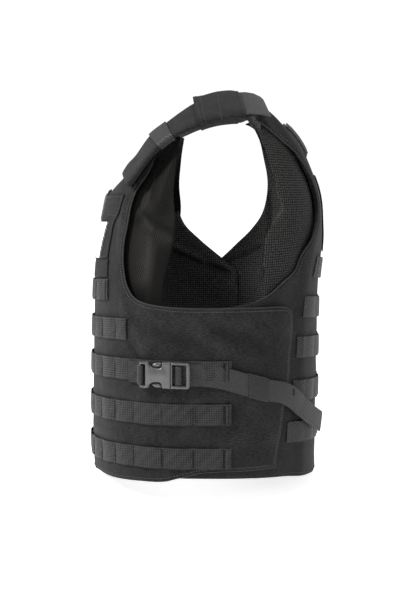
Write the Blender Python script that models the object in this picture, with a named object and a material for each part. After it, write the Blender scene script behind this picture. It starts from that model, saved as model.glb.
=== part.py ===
"""Stab vest, worn shape, standing open. Metres, +Z up, the front faces -Y and the wearer's left is +X.

The origin sits between the shoulders, where the undersides of the straps rest. Every cloth piece is laid
out flat as an outline of (around, height) points: around is the distance from the front centre round the
body, height is Z. The layout is then wrapped on one body shape, each layer at its own depth.
"""

import math

import bmesh
import bpy
import numpy as np
from mathutils import Matrix, Vector
from mathutils.geometry import delaunay_2d_cdt

MM = 0.001
HALF_GIRTH = 0.57
COLUMNS = 24
COLUMN = HALF_GIRTH / COLUMNS
ROW = 0.030

GAP = 0.4 * MM
BAND_GAP = 1.2 * MM
WEB_WIDTH = 25.4 * MM
WEB_THICK = 1.4 * MM
PANEL_EDGE = 2.4 * MM
CHEST_THICK = 8.0 * MM
FLAP_THICK = 4.5 * MM
WING_THICK = 4.0 * MM
LINING_THICK = 1.4 * MM
LOOP_THICK = 1.5 * MM
PATCH_THICK = 1.2 * MM
STRAP_THICK = 8.0 * MM
INNER_WING_THICK = 2.0 * MM
ZIP_TAPE_THICK = 1.0 * MM

# How far the undersides of the inner layers lie inside the body shape
FRONT_LINING_DEPTH = -10.2 * MM
INNER_WING_DEPTH = -13.6 * MM
BACK_LINING_DEPTH = -11.0 * MM

SIDES = (("left", False), ("right", True))

# Body shape: height, half width, front depth, front squareness, back depth, back squareness
SECTIONS = [
    (0.000, 0.160, 0.030, 2.2, 0.062, 4.4),
    (-0.020, 0.163, 0.050, 2.2, 0.088, 4.6),
    (-0.050, 0.168, 0.0705, 2.2, 0.116, 4.8),
    (-0.080, 0.173, 0.0940, 2.3, 0.131, 4.8),
    (-0.110, 0.179, 0.1185, 2.5, 0.1415, 4.8),
    (-0.145, 0.186, 0.1285, 2.6, 0.147, 4.4),
    (-0.180, 0.192, 0.135, 2.6, 0.1475, 3.6),
    (-0.220, 0.198, 0.139, 2.6, 0.1455, 3.0),
    (-0.260, 0.200, 0.141, 2.6, 0.145, 2.8),
    (-0.320, 0.200, 0.1428, 2.6, 0.145, 2.8),
    (-0.400, 0.200, 0.1445, 2.6, 0.1445, 2.8),
    (-0.450, 0.198, 0.144, 2.6, 0.144, 2.8),
    (-0.500, 0.196, 0.141, 2.6, 0.1435, 2.8),
]

# Outlines, as (around, height)
ARMHOLE_FRONT = [
    (0.182, -0.088), (0.179, -0.099), (0.177, -0.114), (0.175, -0.130), (0.1745, -0.148),
    (0.172, -0.168), (0.173, -0.187), (0.178, -0.206), (0.185, -0.220), (0.197, -0.232),
    (0.2135, -0.2376), (0.232, -0.240), (0.251, -0.2414), (0.280, -0.242), (0.362, -0.242),
]
FLAP_EDGE = [
    (0.387, -0.2439), (0.3965, -0.250), (0.398, -0.271), (0.394, -0.300), (0.392, -0.328),
    (0.385, -0.359), (0.380, -0.389), (0.3745, -0.418), (0.3725, -0.4342),
]
FRONT_HEM = [
    (0.339, -0.4345), (0.285, -0.4363), (0.255, -0.443), (0.236, -0.448), (0.203, -0.450),
    (0.158, -0.4537), (0.105, -0.457), (0.055, -0.467), (0.0065, -0.470),
]
FRONT_NECK = [
    (0.0065, -0.1175), (0.040, -0.115), (0.078, -0.1095),
    (0.098, -0.099), (0.107, -0.083), (0.111, -0.062),
]
FRONT_SHOULDER = [(0.148, -0.060), (0.180, -0.066)]

ARMHOLE_BACK = [
    (0.363, -0.0225), (0.373, -0.0247), (0.388, -0.0344), (0.404, -0.0478), (0.4205, -0.065),
    (0.432, -0.0805), (0.441, -0.0944), (0.447, -0.1167), (0.4425, -0.1328), (0.432, -0.152),
    (0.422, -0.1665), (0.409, -0.1835), (0.4015, -0.202), (0.384, -0.214), (0.362, -0.229),
    (0.3386, -0.2367), (0.300, -0.243), (0.240, -0.246),
]
BACK_HEM = [
    (0.240, -0.4447), (0.3345, -0.4456), (0.385, -0.4485), (0.425, -0.4545),
    (0.4586, -0.4595), (0.505, -0.467), (HALF_GIRTH, -0.4695),
]
BACK_NECK = [(HALF_GIRTH, -0.036), (0.535, -0.031), (0.495, -0.017), (0.462, -0.0055), (0.440, -0.0045)]

LINING_EDGE = [
    (0.136, -0.0500), (0.165, -0.0440), (0.196, -0.0435), (0.2235, -0.0470), (0.2285, -0.064),
    (0.231, -0.086), (0.237, -0.116), (0.239, -0.140), (0.235, -0.165), (0.233, -0.200),
]
LINING_HEM = [
    (0.233, -0.440), (0.203, -0.442), (0.158, -0.446), (0.105, -0.450), (0.055, -0.459), (0.012, -0.462),
]
LINING_NECK = [
    (0.012, -0.123), (0.040, -0.121), (0.080, -0.115), (0.102, -0.103), (0.112, -0.086), (0.116, -0.066),
]
# The inner wing stands clear of the flap on the wearer's right, and ends below the flap's top on the left
WING = {
    "left": [(0.2165, -0.249), (0.337, -0.249), (0.337, -0.430), (0.2165, -0.434)],
    "right": [
        (0.2165, -0.161), (0.2255, -0.1515), (0.241, -0.1465), (0.254, -0.168), (0.279, -0.190),
        (0.311, -0.2175), (0.334, -0.236), (0.337, -0.252), (0.337, -0.430), (0.2165, -0.434),
    ],
}
BACK_LINING_TOP = [
    (HALF_GIRTH, -0.040), (0.535, -0.035), (0.497, -0.021),
    (0.464, -0.009), (0.442, -0.008), (0.387, -0.020),
]
BACK_LINING_EDGE = {
    "left": [
        (0.3665, -0.036), (0.3645, -0.048), (0.3673, -0.0575), (0.3714, -0.0807), (0.376, -0.1099),
        (0.3825, -0.1289), (0.371, -0.1393), (0.362, -0.1481), (0.3563, -0.1628), (0.3555, -0.1863),
        (0.3605, -0.2200), (0.3620, -0.2460), (0.300, -0.2490), (0.282, -0.256),
    ],
    "right": [
        (0.381, -0.0585), (0.381, -0.094), (0.377, -0.124), (0.368, -0.154), (0.354, -0.175),
        (0.334, -0.195), (0.311, -0.2175), (0.288, -0.236), (0.282, -0.252),
    ],
}
BACK_LINING_HEM = [
    (0.282, -0.436), (0.3345, -0.438), (0.425, -0.447), (0.505, -0.459), (HALF_GIRTH, -0.4615),
]

CHEST_LOOP = [
    (0.016, -0.121), (0.060, -0.118), (0.160, -0.1135), (0.1528, -0.136), (0.144, -0.146),
    (0.142, -0.165), (0.1387, -0.189), (0.080, -0.1955), (0.016, -0.200),
]
ID_PATCH = [(0.036, -0.151), (0.104, -0.1485), (0.104, -0.192), (0.036, -0.1955)]
BACK_LOOP = [(0.478, -0.092), (0.662, -0.092), (0.662, -0.184), (0.478, -0.184)]
HANDLE = [(0.500, -0.067), (0.640, -0.067), (0.640, -0.029), (0.500, -0.029)]
HANDLE_LIFT = 13 * MM
HANDLE_THICK = 2.8 * MM
HANDLE_FOOT = 0.058
HANDLE_SLOPE = 0.034
ZIP_TAPE = [(0.0029, -0.474), (0.0130, -0.4735), (0.0130, -0.119), (0.0029, -0.1195)]
ZIP_CHAIN = [(-0.0024, -0.472), (0.0024, -0.472), (0.0024, -0.1195), (-0.0024, -0.1195)]

# The zip slider and its puller, as a side view in millimetres: (distance in front of the chain, height)
SLIDER_PROFILE = [
    (1.4, -119), (5.4, -119), (6.2, -121.5), (6.2, -126), (6.8, -126.5), (6.8, -152),
    (5.4, -152), (5.4, -130.5), (4.8, -130.5), (4.8, -132), (1.4, -132),
]
SLIDER_HALF_WIDTH = 3.6 * MM

# Webbing rows: height of the top edge at the centre, how far round the row ends
FRONT_ROWS = [(-0.2244, 0.147), (-0.2703, 0.189), (-0.3175, 0.3165), (-0.3687, 0.3165), (-0.4214, 0.3165)]
BACK_ROWS = [(-0.1984, 0.440), (-0.2471, 0.420), (-0.2959, 0.4097), (-0.3484, 0.4035), (-0.3987, 0.3935)]
ROW_START = 0.0145
# How far the rows climb from the centre to the side, and the distance over which they do
FRONT_RISE, FRONT_RISE_RUN = 0.015, 0.22
BACK_RISE, BACK_RISE_RUN = 0.0165, 0.2
LOOP_STRIP_TOP = -0.2075
LOOP_STRIP_END = 0.1424
LOOP_STRIP_WIDTH = 15 * MM

# How far from its edge a panel takes to reach its full thickness
EDGE_ROLL = 0.012
# Where the chest thins into the side flap, and where the back comes out from under it: start and length
CHEST_TO_FLAP = (0.165, 0.05)
FLAP_TO_BACK = (0.399, 0.03)
UNDER_FLAP = 0.6 * MM

# Shoulder strap from the chest to the back: inner and outer edge of its upper face, each (X, Y, Z)
STRAP_STATIONS = [
    ((0.0920, -0.1012, -0.0864), (0.1500, -0.0928, -0.1004)),
    ((0.0950, -0.0935, -0.0750), (0.1530, -0.0815, -0.0865)),
    ((0.0970, -0.0844, -0.0658), (0.1555, -0.0700, -0.0700)),
    ((0.0990, -0.0669, -0.0418), (0.1570, -0.0550, -0.0540)),
    ((0.1000, -0.0467, -0.0260), (0.1580, -0.0380, -0.0415)),
    ((0.1000, -0.0296, -0.0132), (0.1580, -0.0215, -0.0338)),
    ((0.1000, -0.0116, -0.0018), (0.1580, -0.0060, -0.0278)),
    ((0.1000, 0.0105, 0.0066), (0.1580, 0.0150, -0.0222)),
    ((0.1000, 0.0305, 0.0092), (0.1575, 0.0330, -0.0194)),
    ((0.1000, 0.0500, 0.0070), (0.1565, 0.0500, -0.0184)),
    ((0.1000, 0.0690, 0.0030), (0.1500, 0.0630, -0.0150)),
]
# Its section, as (share of the half width, share of the thickness)
STRAP_OUTLINE = [
    (-1, 0.5), (-1, 0.25), (-0.93, 0), (0.93, 0), (1, 0.25),
    (1, 0.75), (0.93, 1), (0.4, 1), (-0.4, 1), (-0.93, 1), (-1, 0.75),
]
KEEPER_SPAN = (3.0, 4.0)
SLEEVE_SPAN = (6.0, 8.75)
SLEEVE_THICK = 3.0 * MM
KEEPER_THICK = 1.2 * MM
STRAP_TAB_THICK = 2.0 * MM
STRAP_TAB_UP = (0.35, 0.25, 0.9)
STRAP_TAB = [
    ((0.0985, 0.0490, 0.0085), (0.1520, 0.0520, -0.0145)),
    ((0.0990, 0.0600, 0.0078), (0.1520, 0.0640, -0.0145)),
    ((0.1000, 0.0735, 0.0030), (0.1500, 0.0810, -0.0170)),
]

# Side strap: its middle line, as (around, height, depth of its underside)
SIDE_STRAP = [
    (0.2464, -0.3188, 2.4), (0.2706, -0.3190, 2.4), (0.2900, -0.3200, 2.4), (0.3100, -0.3235, 2.4),
    (0.3350, -0.3315, 2.4), (0.3600, -0.3390, 2.4), (0.3800, -0.3440, 2.4), (0.3950, -0.3520, 2.4),
    (0.4120, -0.3650, 3.2), (0.4300, -0.3780, 6.0), (0.4440, -0.3865, 9.0), (0.4555, -0.3925, 11.5),
]
STRAP_KEEPER_SPAN = (0.336, 0.359)
# Half height, underside and top of the keeper's outer and inner faces, in millimetres
STRAP_KEEPER_OUTSIDE = (16.2, 0.5, 5.4)
STRAP_KEEPER_INSIDE = (14.8, 1.7, 4.3)
BUCKLE_CENTRE = (0.2424, -0.3188)
BUCKLE_TAB = [(0.1935, -0.3305), (0.2138, -0.3300), (0.2138, -0.3045), (0.1935, -0.3055)]
TAB_THICK = 2.2 * MM
BUCKLE_DEPTH = 2.2 * MM

# Buckle blocks, each its low and high corner in millimetres: (along, up, out from the flap)
BUCKLE_HALF = 15.5
BUCKLE_SLOT = 12.9
BUCKLE_BODY_BLOCKS = [((-27.7, -BUCKLE_HALF, 0), (-1.5, BUCKLE_HALF, 8.4))]
BUCKLE_BODY_CUTS = [
    ((-19.5, -12.2, 1.8), (2, 12.2, 6.6)),
    ((-19.0, 10.4, 2.1), (-8.0, 17, 10)),
    ((-19.0, -17, 2.1), (-8.0, -10.4, 10)),
    ((-27.0, -BUCKLE_SLOT, -1), (-24.0, BUCKLE_SLOT, 10)),
]
BUCKLE_PLUG_BLOCKS = [
    ((-1.0, -BUCKLE_HALF, 2.2), (27.7, BUCKLE_HALF, 7.4)),
    ((-17.8, 6.8, 2.4), (1.0, 10.0, 6.0)),
    ((-17.8, -10.0, 2.4), (1.0, -6.8, 6.0)),
    ((-17.4, 8.0, 2.7), (-9.5, 14.4, 5.7)),
    ((-17.4, -14.4, 2.7), (-9.5, -8.0, 5.7)),
    ((-13.5, -1.8, 2.4), (1.0, 1.8, 6.0)),
]
BUCKLE_PLUG_CUTS = [
    ((2.0, -BUCKLE_SLOT, -1), (8.5, BUCKLE_SLOT, 9)),
    ((12.5, -BUCKLE_SLOT, -1), (23.0, BUCKLE_SLOT, 9)),
    ((7.5, -BUCKLE_SLOT, 4.6), (13.5, BUCKLE_SLOT, 9)),
]

# Looks: base colour, roughness, metallic
LOOKS = {
    "shell_fabric": ((0.016, 0.016, 0.017), 0.85, 0.0),
    "webbing": ((0.030, 0.030, 0.031), 0.75, 0.0),
    "mesh_lining": ((0.010, 0.010, 0.010), 0.90, 0.0),
    "twill_lining": ((0.016, 0.015, 0.013), 0.85, 0.0),
    "loop_pile": ((0.012, 0.012, 0.012), 0.95, 0.0),
    "buckle_plastic": ((0.045, 0.046, 0.048), 0.42, 0.0),
    "patch": ((0.80, 0.80, 0.80), 0.70, 0.0),
    "zip": ((0.10, 0.10, 0.10), 0.35, 0.8),
}


def empty_scene():
    for obj in list(bpy.data.objects):
        bpy.data.objects.remove(obj, do_unlink=True)
    for name in ("stab_vest", "cutters"):
        bpy.context.scene.collection.children.link(bpy.data.collections.new(name))


def new_material(name, look):
    colour, roughness, metallic = LOOKS[look]
    material = bpy.data.materials.new(name)
    material.use_nodes = True
    shader = material.node_tree.nodes["Principled BSDF"]
    shader.inputs["Base Color"].default_value = (*colour, 1)
    shader.inputs["Roughness"].default_value = roughness
    shader.inputs["Metallic"].default_value = metallic
    return material


def between_rows(table, height):
    """The other columns of a table at this height, with no kinks at its rows."""
    heights = [row[0] for row in table]
    height = min(max(height, heights[-1]), heights[0])
    i = 0
    while i < len(table) - 2 and height < heights[i + 1]:
        i += 1
    above = table[max(i - 1, 0)]
    upper, lower = table[i], table[i + 1]
    below = table[min(i + 2, len(table) - 1)]
    step = lower[0] - upper[0]
    t = (height - upper[0]) / step
    values = []
    for k in range(1, len(upper)):
        slope_up = (lower[k] - above[k]) / (lower[0] - above[0]) * step
        slope_down = (below[k] - upper[k]) / (below[0] - upper[0]) * step
        values.append(
            (2 * t**3 - 3 * t**2 + 1) * upper[k]
            + (t**3 - 2 * t**2 + t) * slope_up
            + (3 * t**2 - 2 * t**3) * lower[k]
            + (t**3 - t**2) * slope_down
        )
    return values


ANGLES = np.linspace(0, math.pi / 2, 120)


def on_quarter(half_width, depth, squareness, share):
    """The point this share of the way along a quarter section, from its centre to its side."""
    x = half_width * np.sin(ANGLES) ** (2 / squareness)
    y = depth * np.cos(ANGLES) ** (2 / squareness)
    along = np.concatenate([[0], np.cumsum(np.hypot(np.diff(x), np.diff(y)))])
    along /= along[-1]
    return float(np.interp(share, along, x)), float(np.interp(share, along, y))


def body_point(around, height):
    side = 1 if around >= 0 else -1
    share = abs(around) / HALF_GIRTH
    if share > 1:
        share, side = 2 - share, -side
    half_width, front, front_square, back, back_square = between_rows(SECTIONS, height)
    if share <= 0.5:
        x, y = on_quarter(half_width, front, front_square, share * 2)
        return Vector((side * x, -y, height))
    x, y = on_quarter(half_width, back, back_square, 2 - share * 2)
    return Vector((side * x, y, height))


KNOTS = {}


def knot(column, row):
    """Place and outward direction of the body at one knot of the layout grid."""
    if (column, row) not in KNOTS:
        around, height = column * COLUMN, -row * ROW
        step = 4 * MM
        across = body_point(around + step, height) - body_point(around - step, height)
        up = body_point(around, height + step) - body_point(around, height - step)
        KNOTS[column, row] = (body_point(around, height), across.cross(up).normalized())
    return KNOTS[column, row]


def on_body(around, height, depth):
    """A layout point on the body, this far outside its surface."""
    column, row = around / COLUMN, -height / ROW
    i, j = math.floor(column + 1e-7), math.floor(row + 1e-7)
    s, t = column - i, row - j
    place, out = Vector((0, 0, 0)), Vector((0, 0, 0))
    for di, dj in ((0, 0), (1, 0), (0, 1), (1, 1)):
        share = (s if di else 1 - s) * (t if dj else 1 - t)
        if share > 1e-9:
            point, normal = knot(i + di, j + dj)
            place += share * point
            out += share * normal
    return place + depth * out


def evenly(first, last, count):
    return [first + (last - first) * k / (count - 1) for k in range(count)]


def smooth_step(value):
    value = min(max(value, 0), 1)
    return value * value * (3 - 2 * value)


def front_rise(around):
    return FRONT_RISE * smooth_step(abs(around) / FRONT_RISE_RUN)


def back_rise(around):
    return BACK_RISE * smooth_step(abs(HALF_GIRTH - around) / BACK_RISE_RUN)


def is_inside(point, outline):
    inside = False
    for (x1, y1), (x2, y2) in zip(outline, outline[1:] + outline[:1]):
        if (y1 > point[1]) != (y2 > point[1]):
            if point[0] < (x2 - x1) * (point[1] - y1) / (y2 - y1) + x1:
                inside = not inside
    return inside


def from_edge(point, outline):
    nearest = 1.0
    for (x1, y1), (x2, y2) in zip(outline, outline[1:] + outline[:1]):
        dx, dy = x2 - x1, y2 - y1
        t = ((point[0] - x1) * dx + (point[1] - y1) * dy) / (dx * dx + dy * dy)
        t = min(max(t, 0), 1)
        nearest = min(nearest, math.hypot(point[0] - x1 - t * dx, point[1] - y1 - t * dy))
    return nearest


def signed_volume(points, faces):
    total = 0.0
    for face in faces:
        for i in range(1, len(face) - 1):
            a, b, c = (Vector(points[k]) for k in (face[0], face[i], face[i + 1]))
            total += a.dot(b.cross(c)) / 6
    return total


def add_object(name, look, points, faces, mirrored=False):
    """A mesh object with its faces turned outward."""
    if mirrored:
        points = [(-p[0], p[1], p[2]) for p in points]
    if signed_volume(points, faces) < 0:
        faces = [tuple(reversed(face)) for face in faces]
    mesh = bpy.data.meshes.new(name)
    mesh.from_pydata([tuple(p) for p in points], [], faces)
    mesh.update()
    mesh.shade_smooth()
    mesh.set_sharp_from_angle(angle=math.radians(35))
    return place_object(name, look, mesh)


def place_object(name, look, mesh):
    """A sub-part of the vest, with a material of its own."""
    mesh.materials.append(new_material(name, look))
    obj = bpy.data.objects.new(name, mesh)
    bpy.data.collections["stab_vest"].objects.link(obj)
    return obj


def cut_layout(outline, narrow):
    """Triangles of the outline, cut along the lines of the layout grid, so that every layer bends alike.

    A narrow outline is cut along the upright lines only.
    """
    arounds = [p[0] for p in outline]
    heights = [p[1] for p in outline]
    first, last = math.floor(min(arounds) / COLUMN), math.ceil(max(arounds) / COLUMN)
    top, bottom = math.floor(-max(heights) / ROW), math.ceil(-min(heights) / ROW)
    points = [Vector(p) for p in outline]
    edges = [(i, (i + 1) % len(outline)) for i in range(len(outline))]

    def add_line(start, end):
        edges.append((len(points), len(points) + 1))
        points.extend((Vector(start), Vector(end)))

    for i in range(first, last + 1):
        add_line((i * COLUMN, -top * ROW), (i * COLUMN, -bottom * ROW))
    if not narrow:
        for j in range(top, bottom + 1):
            add_line((first * COLUMN, -j * ROW), (last * COLUMN, -j * ROW))
    spots, _, triangles, _, _, _ = delaunay_2d_cdt(points, edges, [], 0, 1e-6)
    kept = []
    for triangle in triangles:
        middle = sum((spots[i] for i in triangle), Vector((0, 0))) / len(triangle)
        if is_inside(middle, outline):
            kept.append(tuple(triangle))
    used = sorted({i for triangle in kept for i in triangle})
    number = {old: new for new, old in enumerate(used)}
    kept = [tuple(number[i] for i in triangle) for triangle in kept]
    return [tuple(spots[i]) for i in used], kept


def make_sheet(name, look, outline, outer, inner, mirrored=False, narrow=False):
    """A layer between two depths. outer and inner take (around, height, distance from the edge)."""
    spots, triangles = cut_layout(outline, narrow)
    count = len(spots)
    points = []
    for depth in (outer, inner):
        for spot in spots:
            points.append(on_body(spot[0], spot[1], depth(spot[0], spot[1], from_edge(spot, outline))))
    faces = []
    directed = set()
    for a, b, c in triangles:
        (ax, ay), (bx, by), (cx, cy) = spots[a], spots[b], spots[c]
        if (bx - ax) * (cy - ay) - (by - ay) * (cx - ax) < 0:
            b, c = c, b
        faces.append((a, b, c))
        faces.append((a + count, c + count, b + count))
        directed.update(((a, b), (b, c), (c, a)))
    for a, b in directed:
        if (b, a) not in directed:
            faces.append((b, a, a + count, b + count))
    return add_object(name, look, points, faces, mirrored)


def flat_layer(underside, thick):
    """Depth functions of a layer with the same thickness all over."""
    return (lambda around, height, edge: underside + thick), (lambda around, height, edge: underside)


def mirror_outline(outline, other=None):
    """Closes an outline that runs from the back centre to the back centre, with its mirror or another's."""
    other = other or outline
    return outline + [(2 * HALF_GIRTH - around, height) for around, height in reversed(other[1:-1])]


def back_lining_outline():
    left, right = (BACK_LINING_TOP + BACK_LINING_EDGE[side] + BACK_LINING_HEM for side in ("left", "right"))
    return mirror_outline(left, right)


def strip_outline(top, start, end, rise, width=WEB_WIDTH):
    steps = max(2, math.ceil((end - start) / COLUMN))
    line = [start + (end - start) * i / steps for i in range(steps + 1)]
    lower = [(around, top - width + rise(around)) for around in line]
    upper = [(around, top + rise(around)) for around in reversed(line)]
    return lower + upper


def at_columns(value, around):
    """A value that changes round the body, made straight between the lines of the layout grid."""
    column = math.floor(around / COLUMN + 1e-7)
    share = around / COLUMN - column
    return value(column * COLUMN) * (1 - share) + value((column + 1) * COLUMN) * share


def past_flap(around):
    """0 under the side flap, 1 on the open back."""
    start, length = FLAP_TO_BACK
    from_side = min(around, 2 * HALF_GIRTH - around)
    return smooth_step((from_side - start) / length)


def on_flap(around):
    """0 on the chest, 1 on the side flap."""
    start, length = CHEST_TO_FLAP
    return smooth_step((around - start) / length)


def rolled_edge(full, edge):
    """Thickness of a panel this far from its edge."""
    return PANEL_EDGE + (full - PANEL_EDGE) * smooth_step(edge / EDGE_ROLL)


def front_inner(around, height, edge):
    full = CHEST_THICK + (FLAP_THICK - CHEST_THICK) * at_columns(on_flap, around)
    return -rolled_edge(full, edge)


def back_outer(around, height, edge):
    return -(FLAP_THICK + UNDER_FLAP) * (1 - at_columns(past_flap, around))


def back_inner(around, height, edge):
    full = WING_THICK + (CHEST_THICK - WING_THICK) * at_columns(past_flap, around)
    return back_outer(around, height, edge) - rolled_edge(full, edge)


def make_panels():
    outline = [*FRONT_NECK, *FRONT_SHOULDER, *ARMHOLE_FRONT, *FLAP_EDGE, *FRONT_HEM]
    for side, mirrored in SIDES:
        name = f"front_{side}_panel"
        make_sheet(name, "shell_fabric", outline, lambda *spot: 0.0, front_inner, mirrored)
    half = BACK_NECK + ARMHOLE_BACK + BACK_HEM
    make_sheet("back_panel", "shell_fabric", mirror_outline(half), back_outer, back_inner)


def make_linings():
    outline = [*LINING_NECK, *LINING_EDGE, *LINING_HEM]
    front = flat_layer(FRONT_LINING_DEPTH, LINING_THICK)
    wing = flat_layer(INNER_WING_DEPTH, INNER_WING_THICK)
    for side, mirrored in SIDES:
        make_sheet(f"front_{side}_lining", "twill_lining", outline, *front, mirrored)
        make_sheet(f"{side}_inner_wing", "mesh_lining", WING[side], *wing, mirrored)
    back = flat_layer(BACK_LINING_DEPTH, LINING_THICK)
    make_sheet("back_lining", "mesh_lining", back_lining_outline(), *back)


def make_webbing():
    layer = flat_layer(GAP, WEB_THICK)
    for number, (top, end) in enumerate(FRONT_ROWS, 1):
        outline = strip_outline(top, ROW_START, end, front_rise)
        for side, mirrored in SIDES:
            name = f"front_{side}_webbing_{number}"
            make_sheet(name, "webbing", outline, *layer, mirrored, narrow=True)
    for number, (top, end) in enumerate(BACK_ROWS, 1):
        outline = strip_outline(top, end, 2 * HALF_GIRTH - end, back_rise)

        def under(around, height, edge):
            return back_outer(around, height, edge) + GAP

        def over(around, height, edge):
            return under(around, height, edge) + WEB_THICK

        make_sheet(f"back_webbing_{number}", "webbing", outline, over, under, narrow=True)


def make_chest():
    strip = strip_outline(LOOP_STRIP_TOP, ROW_START, LOOP_STRIP_END, front_rise, LOOP_STRIP_WIDTH)
    pile = flat_layer(GAP, LOOP_THICK)
    for side, mirrored in SIDES:
        make_sheet(f"{side}_chest_loop", "loop_pile", CHEST_LOOP, *pile, mirrored)
        make_sheet(f"{side}_loop_strip", "loop_pile", strip, *pile, mirrored, narrow=True)
    make_sheet("id_patch", "patch", ID_PATCH, *flat_layer(2 * GAP + LOOP_THICK, PATCH_THICK))


def make_back_fittings():
    make_sheet("back_loop_panel", "loop_pile", BACK_LOOP, *flat_layer(GAP, LOOP_THICK))

    def arch(around, height, edge):
        from_middle = abs(around - HALF_GIRTH)
        return GAP + HANDLE_LIFT * smooth_step((HANDLE_FOOT - from_middle) / HANDLE_SLOPE)

    def arch_top(around, height, edge):
        return arch(around, height, edge) + HANDLE_THICK

    make_sheet("drag_handle", "webbing", HANDLE, arch_top, arch)


def make_zip():
    for side, mirrored in SIDES:
        make_sheet(f"zip_{side}_tape", "webbing", ZIP_TAPE, *flat_layer(GAP, ZIP_TAPE_THICK), mirrored)
    make_sheet("zip_chain", "zip", ZIP_CHAIN, *flat_layer(-1.2 * MM, 3.2 * MM))
    profile = [(front * MM, height * MM) for front, height in SLIDER_PROFILE]
    top, bottom = profile[0][1], min(height for _, height in profile)
    base = on_body(0, top, 2.0 * MM)
    lean = (on_body(0, bottom, 2.0 * MM).y - base.y) / (bottom - top)
    points = []
    for x in (-SLIDER_HALF_WIDTH, SLIDER_HALF_WIDTH):
        for front, height in profile:
            points.append((x, base.y + lean * (height - top) - front, height))
    count = len(profile)
    faces = [tuple(range(count)), tuple(reversed(range(count, 2 * count)))]
    for i in range(count):
        j = (i + 1) % count
        faces.append((j, i, i + count, j + count))
    add_object("zip_slider", "zip", points, faces)


def strap_section(index, spare):
    """Rounded section of the shoulder strap at one station, or of a band that stands this far off it."""
    inner, outer = (Vector(p) for p in STRAP_STATIONS[index])
    middles = [(Vector(a) + Vector(b)) / 2 for a, b in STRAP_STATIONS]
    ahead = (middles[min(index + 1, len(middles) - 1)] - middles[max(index - 1, 0)]).normalized()
    side = (outer - inner).normalized()
    up = side.cross(ahead).normalized()
    reach = (outer - inner).length / 2 + spare
    bottom, tall = -STRAP_THICK - spare, STRAP_THICK + 2 * spare
    return [
        middles[index] + side * reach * across + up * (bottom + tall * share)
        for across, share in STRAP_OUTLINE
    ]


def strap_ring(place, spare):
    """The section at a place between stations, on the straight run between them."""
    index = min(int(place), len(STRAP_STATIONS) - 2)
    share = place - index
    first, second = strap_section(index, spare), strap_section(index + 1, spare)
    return [a.lerp(b, share) for a, b in zip(first, second)]


def ring_solid(name, look, rings, closed_ends, mirrored=False):
    """A solid through equal rings of points.

    Without closed ends it is a tube, and each ring holds an outer, then an inner loop.
    """
    count = len(rings[0]) if closed_ends else len(rings[0]) // 2
    points = [p for ring in rings for p in ring]
    size = len(rings[0])
    faces = []
    for k in range(len(rings) - 1):
        a, b = k * size, (k + 1) * size
        for i in range(count):
            j = (i + 1) % count
            faces.append((a + i, a + j, b + j, b + i))
            if not closed_ends:
                faces.append((a + count + j, a + count + i, b + count + i, b + count + j))
    last = (len(rings) - 1) * size
    if closed_ends:
        faces.append(tuple(reversed(range(count))))
        faces.append(tuple(last + i for i in range(count)))
    else:
        for i in range(count):
            j = (i + 1) % count
            faces.append((j, i, count + i, count + j))
            faces.append((last + i, last + j, last + count + j, last + count + i))
    return add_object(name, look, points, faces, mirrored)


def band_rings(span, thick):
    """Rings of a band round the shoulder strap, from one place along it to another."""
    places = [span[0]] + [i for i in range(len(STRAP_STATIONS)) if span[0] < i < span[1]] + [span[1]]
    return [strap_ring(place, BAND_GAP + thick) + strap_ring(place, BAND_GAP) for place in places]


def make_shoulders():
    for side, mirrored in SIDES:
        rings = [strap_section(index, 0) for index in range(len(STRAP_STATIONS))]
        ring_solid(f"{side}_shoulder_strap", "shell_fabric", rings, True, mirrored)
        rings = band_rings(SLEEVE_SPAN, SLEEVE_THICK)
        ring_solid(f"{side}_strap_sleeve", "shell_fabric", rings, False, mirrored)
        rings = band_rings(KEEPER_SPAN, KEEPER_THICK)
        ring_solid(f"{side}_shoulder_keeper", "webbing", rings, False, mirrored)
        up = Vector(STRAP_TAB_UP).normalized() * STRAP_TAB_THICK
        rings = []
        for inner, outer in STRAP_TAB:
            inner, outer = Vector(inner), Vector(outer)
            rings.append([inner, outer, outer + up, inner + up])
        ring_solid(f"{side}_strap_tab", "webbing", rings, True, mirrored)


def strap_line(around):
    """Height, depth and slope of the side strap's middle line."""
    i = 0
    while i < len(SIDE_STRAP) - 2 and around > SIDE_STRAP[i + 1][0]:
        i += 1
    first, second = SIDE_STRAP[i], SIDE_STRAP[i + 1]
    slope = (second[1] - first[1]) / (second[0] - first[0])
    height = first[1] + slope * (around - first[0])
    depth = first[2] + (second[2] - first[2]) / (second[0] - first[0]) * (around - first[0])
    return height, depth * MM, slope


def make_side_strap(side, mirrored):
    rings = []
    for around in evenly(SIDE_STRAP[0][0], SIDE_STRAP[-1][0], 25):
        height, depth, slope = strap_line(around)
        reach = WEB_WIDTH / 2 * math.sqrt(1 + slope * slope)
        rings.append([
            on_body(around, height + reach, depth), on_body(around, height + reach, depth + WEB_THICK),
            on_body(around, height - reach, depth + WEB_THICK), on_body(around, height - reach, depth),
        ])
    ring_solid(f"{side}_side_strap", "webbing", rings, True, mirrored)
    rings = []
    for around in evenly(*STRAP_KEEPER_SPAN, 4):
        middle = strap_line(around)[0]
        section = []
        for reach, low, high in (STRAP_KEEPER_OUTSIDE, STRAP_KEEPER_INSIDE):
            for height, depth in ((reach, low), (reach, high), (-reach, high), (-reach, low)):
                section.append(on_body(around, middle + height * MM, depth * MM))
        rings.append(section)
    ring_solid(f"{side}_strap_keeper", "webbing", rings, False, mirrored)


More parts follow.
